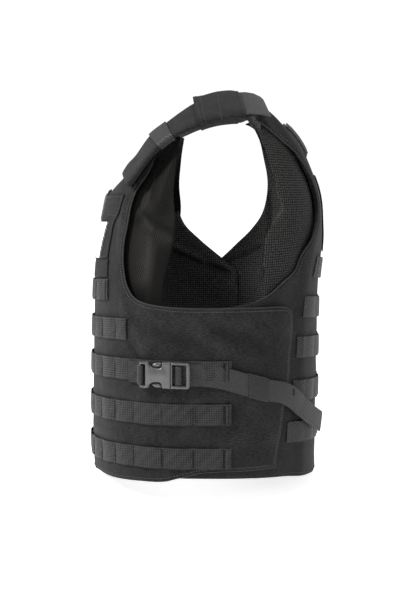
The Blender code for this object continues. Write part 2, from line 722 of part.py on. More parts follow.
def make_blocks(name, added, removed, place):
    """One solid from blocks, each its low and high corner in millimetres in the frame that place sets."""

    def block_mesh(label, low, high):
        shape = bmesh.new()
        bmesh.ops.create_cube(shape, size=1)
        for vertex in shape.verts:
            corner = [(a + b) / 2 + share * (b - a) for a, b, share in zip(low, high, vertex.co)]
            vertex.co = place @ Vector(corner)
        shape.normal_update()
        bmesh.ops.recalc_face_normals(shape, faces=shape.faces)
        mesh = bpy.data.meshes.new(label)
        shape.to_mesh(mesh)
        shape.free()
        return mesh

    body = place_object(name, "buckle_plastic", block_mesh(name, *added[0]))
    steps = [("UNION", box) for box in added[1:]] + [("DIFFERENCE", box) for box in removed]
    for number, (operation, (low, high)) in enumerate(steps):
        label = f"{name}_helper_{number}"
        helper = bpy.data.objects.new(label, block_mesh(label, low, high))
        bpy.data.collections["cutters"].objects.link(helper)
        helper.hide_render = True
        helper.display_type = "WIRE"
        modifier = body.modifiers.new(f"step_{number}", "BOOLEAN")
        modifier.operation = operation
        modifier.solver = "EXACT"
        modifier.object = helper


def buckle_frame(mirrored):
    """From the buckle's own frame, in millimetres (along, up, out from the flap), to the vest."""
    around, height = BUCKLE_CENTRE
    centre = on_body(around, height, BUCKLE_DEPTH)
    along = (on_body(around + 0.02, height, 0) - on_body(around - 0.02, height, 0)).normalized()
    up = Vector((0, 0, 1))
    out = along.cross(up).normalized()
    turned = Matrix((along, up, out)).transposed().to_4x4()
    placed = Matrix.Translation(centre) @ turned @ Matrix.Scale(MM, 4)
    return Matrix.Diagonal((-1, 1, 1, 1)) @ placed if mirrored else placed


def make_buckle(side, mirrored):
    place = buckle_frame(mirrored)
    make_blocks(f"{side}_buckle_body", BUCKLE_BODY_BLOCKS, BUCKLE_BODY_CUTS, place)
    make_blocks(f"{side}_buckle_plug", BUCKLE_PLUG_BLOCKS, BUCKLE_PLUG_CUTS, place)
    layer = flat_layer(2 * GAP + WEB_THICK, TAB_THICK)
    make_sheet(f"{side}_buckle_tab", "webbing", BUCKLE_TAB, *layer, mirrored)


def main():
    empty_scene()
    make_panels()
    make_linings()
    make_webbing()
    make_chest()
    make_back_fittings()
    make_zip()
    make_shoulders()
    for side, mirrored in SIDES:
        make_side_strap(side, mirrored)
        make_buckle(side, mirrored)


main()
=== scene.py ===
import math

import bpy
import numpy as np
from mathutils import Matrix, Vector
from mathutils.geometry import delaunay_2d_cdt


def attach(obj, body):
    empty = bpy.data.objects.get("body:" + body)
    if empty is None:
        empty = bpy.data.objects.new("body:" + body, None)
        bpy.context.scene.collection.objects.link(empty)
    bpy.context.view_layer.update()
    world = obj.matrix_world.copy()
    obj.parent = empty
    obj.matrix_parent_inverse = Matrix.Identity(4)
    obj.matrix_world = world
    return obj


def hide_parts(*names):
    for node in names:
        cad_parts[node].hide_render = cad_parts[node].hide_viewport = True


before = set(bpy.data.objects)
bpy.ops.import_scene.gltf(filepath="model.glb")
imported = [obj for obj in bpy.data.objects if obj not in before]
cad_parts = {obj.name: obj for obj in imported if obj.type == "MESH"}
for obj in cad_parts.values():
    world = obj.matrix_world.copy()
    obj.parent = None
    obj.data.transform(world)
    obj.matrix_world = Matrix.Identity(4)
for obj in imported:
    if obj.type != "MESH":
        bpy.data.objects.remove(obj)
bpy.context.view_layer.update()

MM = 0.001
HALF_GIRTH = 0.57
GRID = 2.5 * MM
GRID_TOP = 0.04

GAP = 0.4 * MM
WEB_WIDTH = 25.4 * MM
WEB_THICK = 1.4 * MM
PANEL_EDGE = 2.4 * MM
CHEST_THICK = 8.0 * MM
FLAP_THICK = 4.5 * MM
WING_THICK = 4.0 * MM
LINING_THICK = 1.4 * MM
LOOP_THICK = 1.5 * MM
PATCH_THICK = 1.2 * MM
STRAP_THICK = 8.0 * MM
INNER_WING_THICK = 2.0 * MM
FRONT_LINING_DEPTH = -10.2 * MM
INNER_WING_DEPTH = -13.6 * MM
BACK_LINING_DEPTH = -11.0 * MM
SIDES = (("left", 1), ("right", -1))
OUTLINE_STEP = 4 * MM
STITCH_LIFT = 0.25 * MM
EDGE_SEAM = 3.6 * MM
PIPING_DEPTH = -1.4 * MM
PIPING_RADIUS = 0.9 * MM
ROW_STEP = 3 * MM
# Where the chest gives way to the flap, and the back to its wing: start and width, round the body
CHEST_TO_FLAP = (0.165, 0.05)
WING_TO_BACK = (0.399, 0.03)
WING_DROP = FLAP_THICK + 0.6 * MM
PADDED_FROM_EDGE = 0.012
RIM_WIDTH = 0.004
RIM_DROP = 0.9 * MM

# Body shape: height, half width, front depth, front squareness, back depth, back squareness
SECTIONS = [
    (0.000, 0.160, 0.030, 2.2, 0.062, 4.4),
    (-0.020, 0.163, 0.050, 2.2, 0.088, 4.6),
    (-0.050, 0.168, 0.0705, 2.2, 0.116, 4.8),
    (-0.080, 0.173, 0.0940, 2.3, 0.131, 4.8),
    (-0.110, 0.179, 0.1185, 2.5, 0.1415, 4.8),
    (-0.145, 0.186, 0.1285, 2.6, 0.147, 4.4),
    (-0.180, 0.192, 0.135, 2.6, 0.1475, 3.6),
    (-0.220, 0.198, 0.139, 2.6, 0.1455, 3.0),
    (-0.260, 0.200, 0.141, 2.6, 0.145, 2.8),
    (-0.320, 0.200, 0.1428, 2.6, 0.145, 2.8),
    (-0.400, 0.200, 0.1445, 2.6, 0.1445, 2.8),
    (-0.450, 0.198, 0.144, 2.6, 0.144, 2.8),
    (-0.500, 0.196, 0.141, 2.6, 0.1435, 2.8),
]

# Outlines, as (around, height)
ARMHOLE_FRONT = [
    (0.182, -0.088), (0.179, -0.099), (0.177, -0.114), (0.175, -0.130), (0.1745, -0.148),
    (0.172, -0.168), (0.173, -0.187), (0.178, -0.206), (0.185, -0.220), (0.197, -0.232),
    (0.2135, -0.2376), (0.232, -0.240), (0.251, -0.2414), (0.280, -0.242), (0.362, -0.242),
]
FLAP_EDGE = [
    (0.387, -0.2439), (0.3965, -0.250), (0.398, -0.271), (0.394, -0.300), (0.392, -0.328),
    (0.385, -0.359), (0.380, -0.389), (0.3745, -0.418), (0.3725, -0.4342),
]
FRONT_HEM = [
    (0.339, -0.4345), (0.285, -0.4363), (0.255, -0.443), (0.236, -0.448), (0.203, -0.450),
    (0.158, -0.4537), (0.105, -0.457), (0.055, -0.467), (0.0065, -0.470),
]
FRONT_NECK = [
    (0.0065, -0.1175), (0.040, -0.115), (0.078, -0.1095),
    (0.098, -0.099), (0.107, -0.083), (0.111, -0.062),
]
FRONT_SHOULDER = [(0.148, -0.060), (0.180, -0.066)]
ARMHOLE_BACK = [
    (0.363, -0.0225), (0.373, -0.0247), (0.388, -0.0344), (0.404, -0.0478), (0.4205, -0.065),
    (0.432, -0.0805), (0.441, -0.0944), (0.447, -0.1167), (0.4425, -0.1328), (0.432, -0.152),
    (0.422, -0.1665), (0.409, -0.1835), (0.4015, -0.202), (0.384, -0.214), (0.362, -0.229),
    (0.3386, -0.2367), (0.300, -0.243), (0.240, -0.246),
]
BACK_HEM = [
    (0.240, -0.4447), (0.3345, -0.4456), (0.385, -0.4485), (0.425, -0.4545),
    (0.4586, -0.4595), (0.505, -0.467), (HALF_GIRTH, -0.4695),
]
BACK_NECK = [(HALF_GIRTH, -0.036), (0.535, -0.031), (0.495, -0.017), (0.462, -0.0055), (0.440, -0.0045)]
LINING_EDGE = [
    (0.136, -0.0480), (0.165, -0.0410), (0.194, -0.0400), (0.2205, -0.0420), (0.2280, -0.064),
    (0.2345, -0.086), (0.2410, -0.116), (0.2455, -0.140), (0.245, -0.160), (0.240, -0.185), (0.233, -0.215),
]
LINING_HEM = [
    (0.233, -0.440), (0.203, -0.442), (0.158, -0.446), (0.105, -0.450), (0.055, -0.459), (0.012, -0.462),
]
LINING_NECK = [
    (0.012, -0.123), (0.040, -0.121), (0.080, -0.115), (0.102, -0.103), (0.112, -0.086), (0.116, -0.066),
]
# The inner wing stands clear of the flap on the wearer's right, and ends below the flap's top on the left
WING = {
    "left": [(0.2165, -0.249), (0.337, -0.249), (0.337, -0.430), (0.2165, -0.434)],
    "right": [
        (0.2165, -0.161), (0.2255, -0.1515), (0.241, -0.1465), (0.254, -0.168), (0.279, -0.190),
        (0.311, -0.2175), (0.334, -0.236), (0.337, -0.252), (0.337, -0.430), (0.2165, -0.434),
    ],
}
BACK_LINING_TOP = [
    (HALF_GIRTH, -0.040), (0.535, -0.035), (0.497, -0.021),
    (0.464, -0.009), (0.442, -0.008), (0.387, -0.020),
]
BACK_LINING_EDGE = {
    "left": [
        (0.3665, -0.036), (0.3645, -0.048), (0.3673, -0.0575), (0.3714, -0.0807), (0.376, -0.1099),
        (0.3825, -0.1289), (0.371, -0.1393), (0.362, -0.1481), (0.3563, -0.1628), (0.3555, -0.1863),
        (0.3605, -0.2200), (0.3620, -0.2460), (0.300, -0.2490), (0.282, -0.256),
    ],
    "right": [
        (0.381, -0.0585), (0.381, -0.094), (0.377, -0.124), (0.368, -0.154), (0.354, -0.175),
        (0.334, -0.195), (0.311, -0.2175), (0.288, -0.236), (0.282, -0.252),
    ],
}
BACK_LINING_HEM = [
    (0.282, -0.436), (0.3345, -0.438), (0.425, -0.447), (0.505, -0.459), (HALF_GIRTH, -0.4615),
]
CHEST_LOOP = [
    (0.016, -0.121), (0.060, -0.118), (0.160, -0.1135), (0.1528, -0.136), (0.144, -0.146),
    (0.142, -0.165), (0.1387, -0.189), (0.080, -0.1955), (0.016, -0.200),
]
ID_PATCH = [(0.0700, -0.1500), (0.1250, -0.1470), (0.1110, -0.1915), (0.0560, -0.1955)]
BACK_LOOP = [(0.478, -0.092), (0.662, -0.092), (0.662, -0.184), (0.478, -0.184)]
HANDLE_SPAN = (0.500, 0.640)
HANDLE_HEIGHT = -0.051
HANDLE_WIDTH = 0.036
HANDLE_LIFT = 4 * MM
HANDLE_THICK = 2.8 * MM
# How far round from the middle each zip tape starts and ends
TAPE_EDGES = (0.0029, 0.0130)

# Webbing rows: height of the top edge at the centre, how far round the row ends
FRONT_ROWS = [(-0.2244, 0.147), (-0.2703, 0.189), (-0.3175, 0.3165), (-0.3687, 0.3165), (-0.4214, 0.3165)]
BACK_ROWS = [(-0.1984, 0.440), (-0.2471, 0.420), (-0.2959, 0.4097), (-0.3484, 0.4035), (-0.3987, 0.3935)]
ROW_START = 0.0145
FRONT_RISE = 0.015
BACK_RISE = 0.0165
# Height of the top edge, how far round it ends, width
LOOP_STRIP = (-0.2010, 0.1424, 21.5 * MM)

STRAP_STATIONS = [
    ((0.0920, -0.1012, -0.0864), (0.1500, -0.0928, -0.1004)),
    ((0.0950, -0.0935, -0.0750), (0.1530, -0.0815, -0.0865)),
    ((0.0970, -0.0844, -0.0658), (0.1555, -0.0700, -0.0700)),
    ((0.0990, -0.0669, -0.0418), (0.1570, -0.0550, -0.0540)),
    ((0.1000, -0.0467, -0.0260), (0.1580, -0.0380, -0.0415)),
    ((0.1000, -0.0296, -0.0132), (0.1580, -0.0215, -0.0338)),
    ((0.1000, -0.0116, -0.0018), (0.1580, -0.0060, -0.0278)),
    ((0.1000, 0.0105, 0.0066), (0.1580, 0.0150, -0.0222)),
    ((0.1000, 0.0305, 0.0092), (0.1575, 0.0330, -0.0194)),
    ((0.1000, 0.0450, 0.0078), (0.1565, 0.0530, -0.0178)),
    ((0.1000, 0.0690, 0.0030), (0.1500, 0.0630, -0.0150)),
]
# The pad runs on down behind the back panel's top edge
STRAP_TAIL = [
    ((0.1000, 0.0750, -0.0040), (0.1480, 0.0690, -0.0215)),
    ((0.1000, 0.0790, -0.0120), (0.1460, 0.0735, -0.0280)),
]
# Stretches of the strap, counted in stations
KEEPER_SPAN = (3.0, 4.0)
SLEEVE_SPAN = (6.0, 8.75)
SLEEVE_THICK = 3.0 * MM
KEEPER_THICK = 1.2 * MM
STRAP_TAB = [
    ((0.0985, 0.0400, 0.0070), (0.1570, 0.0450, -0.0200)),
    ((0.0985, 0.0490, 0.0075), (0.1570, 0.0530, -0.0185)),
    ((0.0990, 0.0590, 0.0060), (0.1550, 0.0630, -0.0190)),
    ((0.1000, 0.0675, 0.0020), (0.1530, 0.0730, -0.0205)),
    ((0.1000, 0.0712, -0.0013), (0.1510, 0.0780, -0.0222)),
]

# Side strap: its middle line, as (around, height, depth of its underside in millimetres)
SIDE_STRAP = [
    (0.2464, -0.3188, 2.4), (0.2706, -0.3190, 2.4), (0.2900, -0.3200, 2.4), (0.3100, -0.3235, 2.4),
    (0.3350, -0.3315, 2.4), (0.3600, -0.3390, 2.4), (0.3800, -0.3440, 2.4), (0.3950, -0.3520, 2.4),
    (0.4120, -0.3650, 3.2), (0.4300, -0.3780, 6.0), (0.4440, -0.3865, 9.0), (0.4555, -0.3925, 11.5),
]
STRAP_KEEPER_SPAN = (0.336, 0.359)
STRAP_TACK = 0.3955
BUCKLE_TAB = [(0.1935, -0.3305), (0.2138, -0.3300), (0.2138, -0.3045), (0.1935, -0.3055)]
TAB_THICK = 2.2 * MM


# Body surface

def smooth_between(start, end, slope_in, slope_out, t):
    """From start to end on a smooth curve that leaves and arrives with these slopes."""
    return (
        (2 * t**3 - 3 * t**2 + 1) * start + (t**3 - 2 * t**2 + t) * slope_in
        + (3 * t**2 - 2 * t**3) * end + (t**3 - t**2) * slope_out
    )


def between_rows(table, height):
    """The other columns of a table at this height, with no kinks at its rows."""
    heights = [row[0] for row in table]
    height = min(max(height, heights[-1]), heights[0])
    i = 0
    while i < len(table) - 2 and height < heights[i + 1]:
        i += 1
    above, upper, lower = table[max(i - 1, 0)], table[i], table[i + 1]
    below = table[min(i + 2, len(table) - 1)]
    step = lower[0] - upper[0]
    t = (height - upper[0]) / step
    values = []
    for k in range(1, len(upper)):
        slope_up = (lower[k] - above[k]) / (lower[0] - above[0]) * step
        slope_down = (below[k] - upper[k]) / (below[0] - upper[0]) * step
        values.append(smooth_between(upper[k], lower[k], slope_up, slope_down, t))
    return values


def build_body():
    """Grids of the body's places and outward directions, by height and by distance round it."""
    heights = np.arange(GRID_TOP, -0.52, -GRID)
    columns = int(round(HALF_GIRTH / GRID)) + 1
    shares = np.linspace(0, 1, columns)
    angles = np.linspace(0, math.pi / 2, 240)
    places = np.zeros((len(heights), columns, 3))
    for j, height in enumerate(heights):
        half_width, front, front_square, back, back_square = between_rows(SECTIONS, height)
        for sign, depth, square, chosen, share in (
            (-1, front, front_square, shares <= 0.5, shares * 2),
            (1, back, back_square, shares > 0.5, 2 - shares * 2),
        ):
            x = half_width * np.sin(angles) ** (2 / square)
            y = depth * np.cos(angles) ** (2 / square)
            along = np.concatenate([[0], np.cumsum(np.hypot(np.diff(x), np.diff(y)))])
            along /= along[-1]
            places[j, chosen, 0] = np.interp(share[chosen], along, x)
            places[j, chosen, 1] = sign * np.interp(share[chosen], along, y)
        places[j, :, 2] = height
    mirror = np.array([-1, 1, 1])
    wide = np.concatenate([places[:, 1:2] * mirror, places, places[:, -2:-1] * mirror], axis=1)
    across = wide[:, 2:] - wide[:, :-2]
    up = -np.gradient(places, axis=0)
    out = np.cross(across, up)
    return places, out / np.linalg.norm(out, axis=2, keepdims=True)


BODY_PLACES, BODY_OUT = build_body()


def body(around, height, depth):
    """Points this far outside the body's surface, for arrays of layout points."""
    around, height, depth = np.broadcast_arrays(
        np.asarray(around, float), np.asarray(height, float), np.asarray(depth, float)
    )
    side = np.where(around < 0, -1.0, 1.0)
    distance = np.abs(around)
    side = np.where(distance > HALF_GIRTH, -side, side)
    distance = np.where(distance > HALF_GIRTH, 2 * HALF_GIRTH - distance, distance)
    rows, columns = BODY_PLACES.shape[:2]
    column = np.clip(distance / HALF_GIRTH * (columns - 1), 0, columns - 1.001)
    row = np.clip((GRID_TOP - height) / GRID, 0, rows - 1.001)
    i, j = column.astype(int), row.astype(int)
    s, t = (column - i)[..., None], (row - j)[..., None]
    found = []
    for grid in (BODY_PLACES, BODY_OUT):
        upper = grid[j, i] * (1 - s) + grid[j, i + 1] * s
        lower = grid[j + 1, i] * (1 - s) + grid[j + 1, i + 1] * s
        value = upper * (1 - t) + lower * t
        value[..., 0] *= side
        found.append(value)
    place, out = found
    place[..., 2] = np.where(height > GRID_TOP, height, place[..., 2])
    out /= np.linalg.norm(out, axis=-1, keepdims=True)
    return place + depth[..., None] * out


def smooth_step(value):
    value = np.clip(value, 0, 1)
    return value * value * (3 - 2 * value)


def lattice(column, row, seed):
    """A repeatable value from 0 to 1 for each pair of whole numbers."""
    mixed = np.sin(column * 127.1 + row * 311.7 + seed * 74.7) * 43758.5453
    return mixed - np.floor(mixed)


def soft_noise(u, v, seed):
    """Smooth noise from -1 to 1, one bump to each unit."""
    i, j = np.floor(u), np.floor(v)
    s, t = smooth_step(u - i), smooth_step(v - j)
    top = lattice(i, j, seed) * (1 - s) + lattice(i + 1, j, seed) * s
    bottom = lattice(i, j + 1, seed) * (1 - s) + lattice(i + 1, j + 1, seed) * s
    return 2 * (top * (1 - t) + bottom * t) - 1


def turned_noise(around, height, angle, length, width, seed):
    """Soft creases of this length and width, turned by an angle in degrees."""
    turn = math.radians(angle)
    along = around * math.cos(turn) + height * math.sin(turn)
    across = -around * math.sin(turn) + height * math.cos(turn)
    return soft_noise(along / length, across / width, seed)


def folds(around, height, table):
    """Ridges, or creases where the lift is below 0: (from, to, half width, lift in millimetres)."""
    total = np.zeros(np.shape(around))
    for (a1, h1), (a2, h2), width, lift in table:
        da, dh = a2 - a1, h2 - h1
        t = np.clip(((around - a1) * da + (height - h1) * dh) / (da * da + dh * dh), 0, 1)
        distance = np.hypot(around - a1 - t * da, height - h1 - t * dh)
        ends = smooth_step(np.minimum(t, 1 - t) * 4 + 0.25)
        total += lift * MM * ends * np.exp(-((distance / width) ** 2))
    return total


# Meshes

def smooth_outline(outline, spacing, closed=True, corner=40):
    """The outline as a smooth line with points this far apart. Turns sharper than corner stay sharp."""
    points = np.array(outline, float)
    count = len(points)
    found = []
    for i in range(count if closed else count - 1):
        p1, p2 = points[i], points[(i + 1) % count]
        p0 = points[i - 1] if closed or i > 0 else p1
        p3 = points[(i + 2) % count] if closed or i + 2 < count else p2
        length = np.linalg.norm(p2 - p1)
        ends = []
        for before, at, after in ((p0, p1, p2), (p1, p2, p3)):
            one, two = at - before, after - at
            size = np.linalg.norm(one) * np.linalg.norm(two)
            sharp = size == 0 or np.dot(one, two) / size < math.cos(math.radians(corner))
            chord = (p2 - p1) if sharp else (after - before)
            ends.append(chord / np.linalg.norm(chord) * length)
        steps = max(1, int(round(length / spacing)))
        t = (np.arange(steps) / steps)[:, None]
        found.append(smooth_between(p1, p2, *ends, t))
    if not closed:
        found.append(points[-1:])
    return np.concatenate(found)


def edge_distance(points, loop):
    nearest = np.full(len(points), 1.0)
    for a, b in zip(loop, np.roll(loop, -1, axis=0)):
        d = b - a
        t = np.clip(((points - a) @ d) / max(d @ d, 1e-12), 0, 1)
        nearest = np.minimum(nearest, np.linalg.norm(points - a - t[:, None] * d, axis=1))
    return nearest


def inside(points, loop):
    found = np.zeros(len(points), bool)
    for (x1, y1), (x2, y2) in zip(loop, np.roll(loop, -1, axis=0)):
        crosses = (y1 > points[:, 1]) != (y2 > points[:, 1])
        if y1 != y2:
            at = (x2 - x1) * (points[:, 1] - y1) / (y2 - y1) + x1
            found ^= crosses & (points[:, 0] < at)
    return found


def area_of(loop):
    x, y = loop[:, 0], loop[:, 1]
    return abs(np.dot(x, np.roll(y, -1)) - np.dot(y, np.roll(x, -1))) / 2


def run_along(points):
    """The distance along a line at each of its points."""
    return np.concatenate([[0], np.cumsum(np.linalg.norm(np.diff(points, axis=0), axis=1))])


def ring_faces(count, size, closed=False):
    """Quads between rings of this size, with a cap at each end unless the last ring meets the first."""
    faces = []
    for k in range(count if closed else count - 1):
        a, b = k * size, (k + 1) % count * size
        for i in range(size):
            j = (i + 1) % size
            faces.append((a + i, a + j, b + j, b + i))
    if not closed:
        faces.append(tuple(reversed(range(size))))
        faces.append(tuple((count - 1) * size + i for i in range(size)))
    return faces


def flat(level):
    """A face at one level."""
    return lambda along, up, edge: level + 0 * along


def make_object(name, points, faces, material, uvs=None, mirror=1, smooth=True):
    points = np.array(points, float)
    points[:, 0] *= mirror
    triangles = np.array([(f[0], f[i], f[i + 1]) for f in faces for i in range(1, len(f) - 1)])
    corners = points[triangles]
    volume = np.einsum("ij,ij->i", corners[:, 0], np.cross(corners[:, 1], corners[:, 2])).sum()
    if volume < 0:
        faces = [tuple(reversed(f)) for f in faces]
    mesh = bpy.data.meshes.new(name)
    mesh.from_pydata(points.tolist(), [], faces)
    mesh.update()
    if uvs is not None:
        layer = mesh.uv_layers.new(name="cloth")
        index = np.zeros(len(mesh.loops), int)
        mesh.loops.foreach_get("vertex_index", index)
        layer.data.foreach_set("uv", np.asarray(uvs, float)[index].ravel())
    if smooth:
        mesh.shade_smooth()
        mesh.set_sharp_from_angle(angle=math.radians(50))
    mesh.materials.append(material)
    obj = bpy.data.objects.new(name, mesh)
    bpy.context.scene.collection.objects.link(obj)
    return obj


def dress(obj, slot, *nodes):
    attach(obj, "root")
    if nodes:
        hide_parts(*nodes)
    return obj


def cloth_piece(
    name, outline, outer, inner, material, mirror=1,
    spacing=4.5 * MM, roll=0.8 * MM, corner=40, holes=(), where=body, creases=None,
):
    """A closed layer between two depths, with a rounded rim. outer and inner take (around, height, edge).

    creases gives the fold height, in metres, for painted shade in the hollows and painted highlights on the
    ridges.
    """
    loop = smooth_outline(outline, spacing, corner=corner)
    gaps = [smooth_outline(hole, spacing, corner=corner) for hole in holes]
    low, high = loop.min(axis=0), loop.max(axis=0)
    rows = np.arange(low[1], high[1], spacing * 0.87)
    grid = []
    for k, height in enumerate(rows):
        start = low[0] + (spacing / 2 if k % 2 else 0)
        around = np.arange(start, high[0], spacing)
        grid.append(np.stack([around, np.full(len(around), height)], axis=1))
    grid = np.concatenate(grid)
    grid = grid[inside(grid, loop)]
    grid = grid[edge_distance(grid, loop) > 0.6 * spacing]
    for gap in gaps:
        grid = grid[~inside(grid, gap) & (edge_distance(grid, gap) > 0.6 * spacing)]
    points, edges = [], []
    for ring in (loop, *gaps):
        edges += [(len(points) + i, len(points) + (i + 1) % len(ring)) for i in range(len(ring))]
        points += [Vector(p) for p in ring]
    points += [Vector(p) for p in grid]
    spots, _, triangles, _, _, _ = delaunay_2d_cdt(points, edges, [], 1, 1e-7)
    spots = np.array([tuple(p) for p in spots])
    triangles = np.array([tuple(t) for t in triangles])
    middles = spots[triangles].mean(axis=1)
    for gap in gaps:
        kept = ~inside(middles, gap)
        triangles, middles = triangles[kept], middles[kept]
    count = len(spots)
    around, height = spots[:, 0], spots[:, 1]
    edge = np.min([edge_distance(spots, ring) for ring in (loop, *gaps)], axis=0)
    over, under = outer(around, height, edge), inner(around, height, edge)
    faces, directed = [], {}
    for a, b, c in triangles.tolist():
        pa, pb, pc = spots[a], spots[b], spots[c]
        if (pb[0] - pa[0]) * (pc[1] - pa[1]) - (pb[1] - pa[1]) * (pc[0] - pa[0]) < 0:
            b, c = c, b
        faces.append((a, b, c))
        faces.append((a + count, c + count, b + count))
        for pair in ((a, b), (b, c), (c, a)):
            directed[pair] = True
    rim = [pair for pair in directed if (pair[1], pair[0]) not in directed]
    outward = np.zeros((count, 2))
    for a, b in rim:
        d = spots[b] - spots[a]
        normal = np.array([d[1], -d[0]]) / max(np.linalg.norm(d), 1e-9)
        outward[a] += normal
        outward[b] += normal
    ids = sorted({a for a, b in rim})
    number = {vertex: 2 * count + k for k, vertex in enumerate(ids)}
    size = np.maximum(np.linalg.norm(outward[ids], axis=1, keepdims=True), 1e-9)
    pushed = spots[ids] + outward[ids] / size * roll
    middle = (over[ids] + under[ids]) / 2
    for a, b in rim:
        faces.append((b, a, number[a], number[b]))
        faces.append((number[b], number[a], a + count, b + count))
    places = np.concatenate([
        where(around, height, over), where(around, height, under), where(pushed[:, 0], pushed[:, 1], middle),
    ])
    uvs = np.concatenate([spots, spots, pushed])
    obj = make_object(name, places, faces, material, uvs, mirror)
    obj["flat_area"] = float(area_of(loop))
    # Painted shade and highlight: each point keeps its fold height, in millimetres, so the material can
    # darken the hollows and lighten the ridges
    if creases is not None:
        rise = creases(around, height) / MM
        layer = obj.data.attributes.new("crease", "FLOAT", "POINT")
        layer.data.foreach_set("value", np.concatenate([rise, rise, rise[ids]]).astype(np.float32))
    return obj


def rounded_to(level, radius):
    """A face at this level whose edge turns down with this radius."""
    def face(along, up, edge):
        rest = 1 - np.clip(edge / radius, 0, 1)
        return level - radius * (1 - np.sqrt(1 - 0.98 * rest * rest))
    return face


def tube(name, path, radius, material, mirror=1, sides=8, closed=False):
    """A round cord along a path of places. The UV runs along it in metres."""
    path = np.asarray(path, float)
    count = len(path)
    ahead = np.roll(path, -1, axis=0) - np.roll(path, 1, axis=0)
    if not closed:
        ahead[0], ahead[-1] = path[1] - path[0], path[-1] - path[-2]
    ahead /= np.linalg.norm(ahead, axis=1, keepdims=True)
    up = np.array([0.0, 0.0, 1.0])
    rings, uvs = [], []
    run = run_along(path)
    side = np.cross(up, ahead[0])
    side = side if np.linalg.norm(side) > 0.1 else np.array([1.0, 0.0, 0.0])
    for k in range(count):
        side = side - ahead[k] * np.dot(side, ahead[k])
        side = side / np.linalg.norm(side)
        other = np.cross(ahead[k], side)
        for i in range(sides):
            angle = 2 * math.pi * i / sides
            rings.append(path[k] + radius * (math.cos(angle) * side + math.sin(angle) * other))
            uvs.append((run[k], i / sides * 2 * math.pi * radius))
    return make_object(name, rings, ring_faces(count, sides, closed), material, uvs, mirror)


def band(name, centre, width, depth, thick, material, mirror=1, across=6):
    """Webbing along a layout line: centre points (around, height), underside depths and a thickness."""
    centre = np.asarray(centre, float)
    ahead = np.gradient(centre, axis=0)
    ahead /= np.linalg.norm(ahead, axis=1, keepdims=True)
    side = np.stack([-ahead[:, 1], ahead[:, 0]], axis=1)
    run = run_along(centre)
    shares = np.linspace(-1, 1, across + 1)
    places, uvs, size = [], [], 2 * (across + 1)
    depth = np.broadcast_to(np.asarray(depth, float), len(centre))
    thick = np.broadcast_to(np.asarray(thick, float), len(centre))
    for layer in (0, 1):
        for share in (shares if layer == 0 else shares[::-1]):
            spot = centre + side * (share * width / 2)
            edge = 0.25 if abs(share) == 1 else 0.0
            level = depth + thick * (edge if layer == 0 else 1 - edge)
            places.append(body(spot[:, 0], spot[:, 1], level))
            uvs.append(np.stack([run, np.full(len(run), share * width / 2)], axis=1))
    places = np.stack(places, axis=1).reshape(-1, 3)
    uvs = np.stack(uvs, axis=1).reshape(-1, 2)
    return make_object(name, places, ring_faces(len(centre), size), material, uvs, mirror)


def stitches(name, lines, material, mirror=1, length=2.4 * MM, pitch=3.4 * MM, width=0.55 * MM):
    """Short raised threads along lines of places, each line an array of points."""
    places, faces = [], []
    for line in lines:
        line = np.asarray(line, float)
        run = run_along(line)
        for start in np.arange(0, run[-1] - length, pitch):
            ends = [
                np.array([np.interp(s, run, line[:, k]) for k in range(3)]) for s in (start, start + length)
            ]
            ahead = (ends[1] - ends[0]) / max(np.linalg.norm(ends[1] - ends[0]), 1e-9)
            middle = (ends[0] + ends[1]) / 2
            around = np.cross(ahead, [0.3, 0.5, 0.8])
            around /= np.linalg.norm(around)
            other = np.cross(ahead, around)
            base = len(places)
            places += [ends[0], ends[1]]
            for angle in (0.25, 0.75, 1.25, 1.75):
                turn = angle * math.pi
                places.append(middle + width * (math.cos(turn) * around + math.sin(turn) * other))
            for i in range(4):
                a, b = base + 2 + i, base + 2 + (i + 1) % 4
                faces += [(base, b, a), (base + 1, a, b)]
    return make_object(name, places, faces, material, None, mirror, smooth=False)


# Materials

def new_material(name, colour, roughness, metallic=0.0, sheen=0.0, specular=0.5):
    material = bpy.data.materials.new(name)
    material.use_nodes = True
    shader = material.node_tree.nodes["Principled BSDF"]
    shader.inputs["Base Color"].default_value = (*colour, 1)
    shader.inputs["Roughness"].default_value = roughness
    shader.inputs["Metallic"].default_value = metallic
    shader.inputs["Specular IOR Level"].default_value = specular
    if sheen:
        shader.inputs["Sheen Weight"].default_value = sheen
        shader.inputs["Sheen Roughness"].default_value = 0.5
    return material


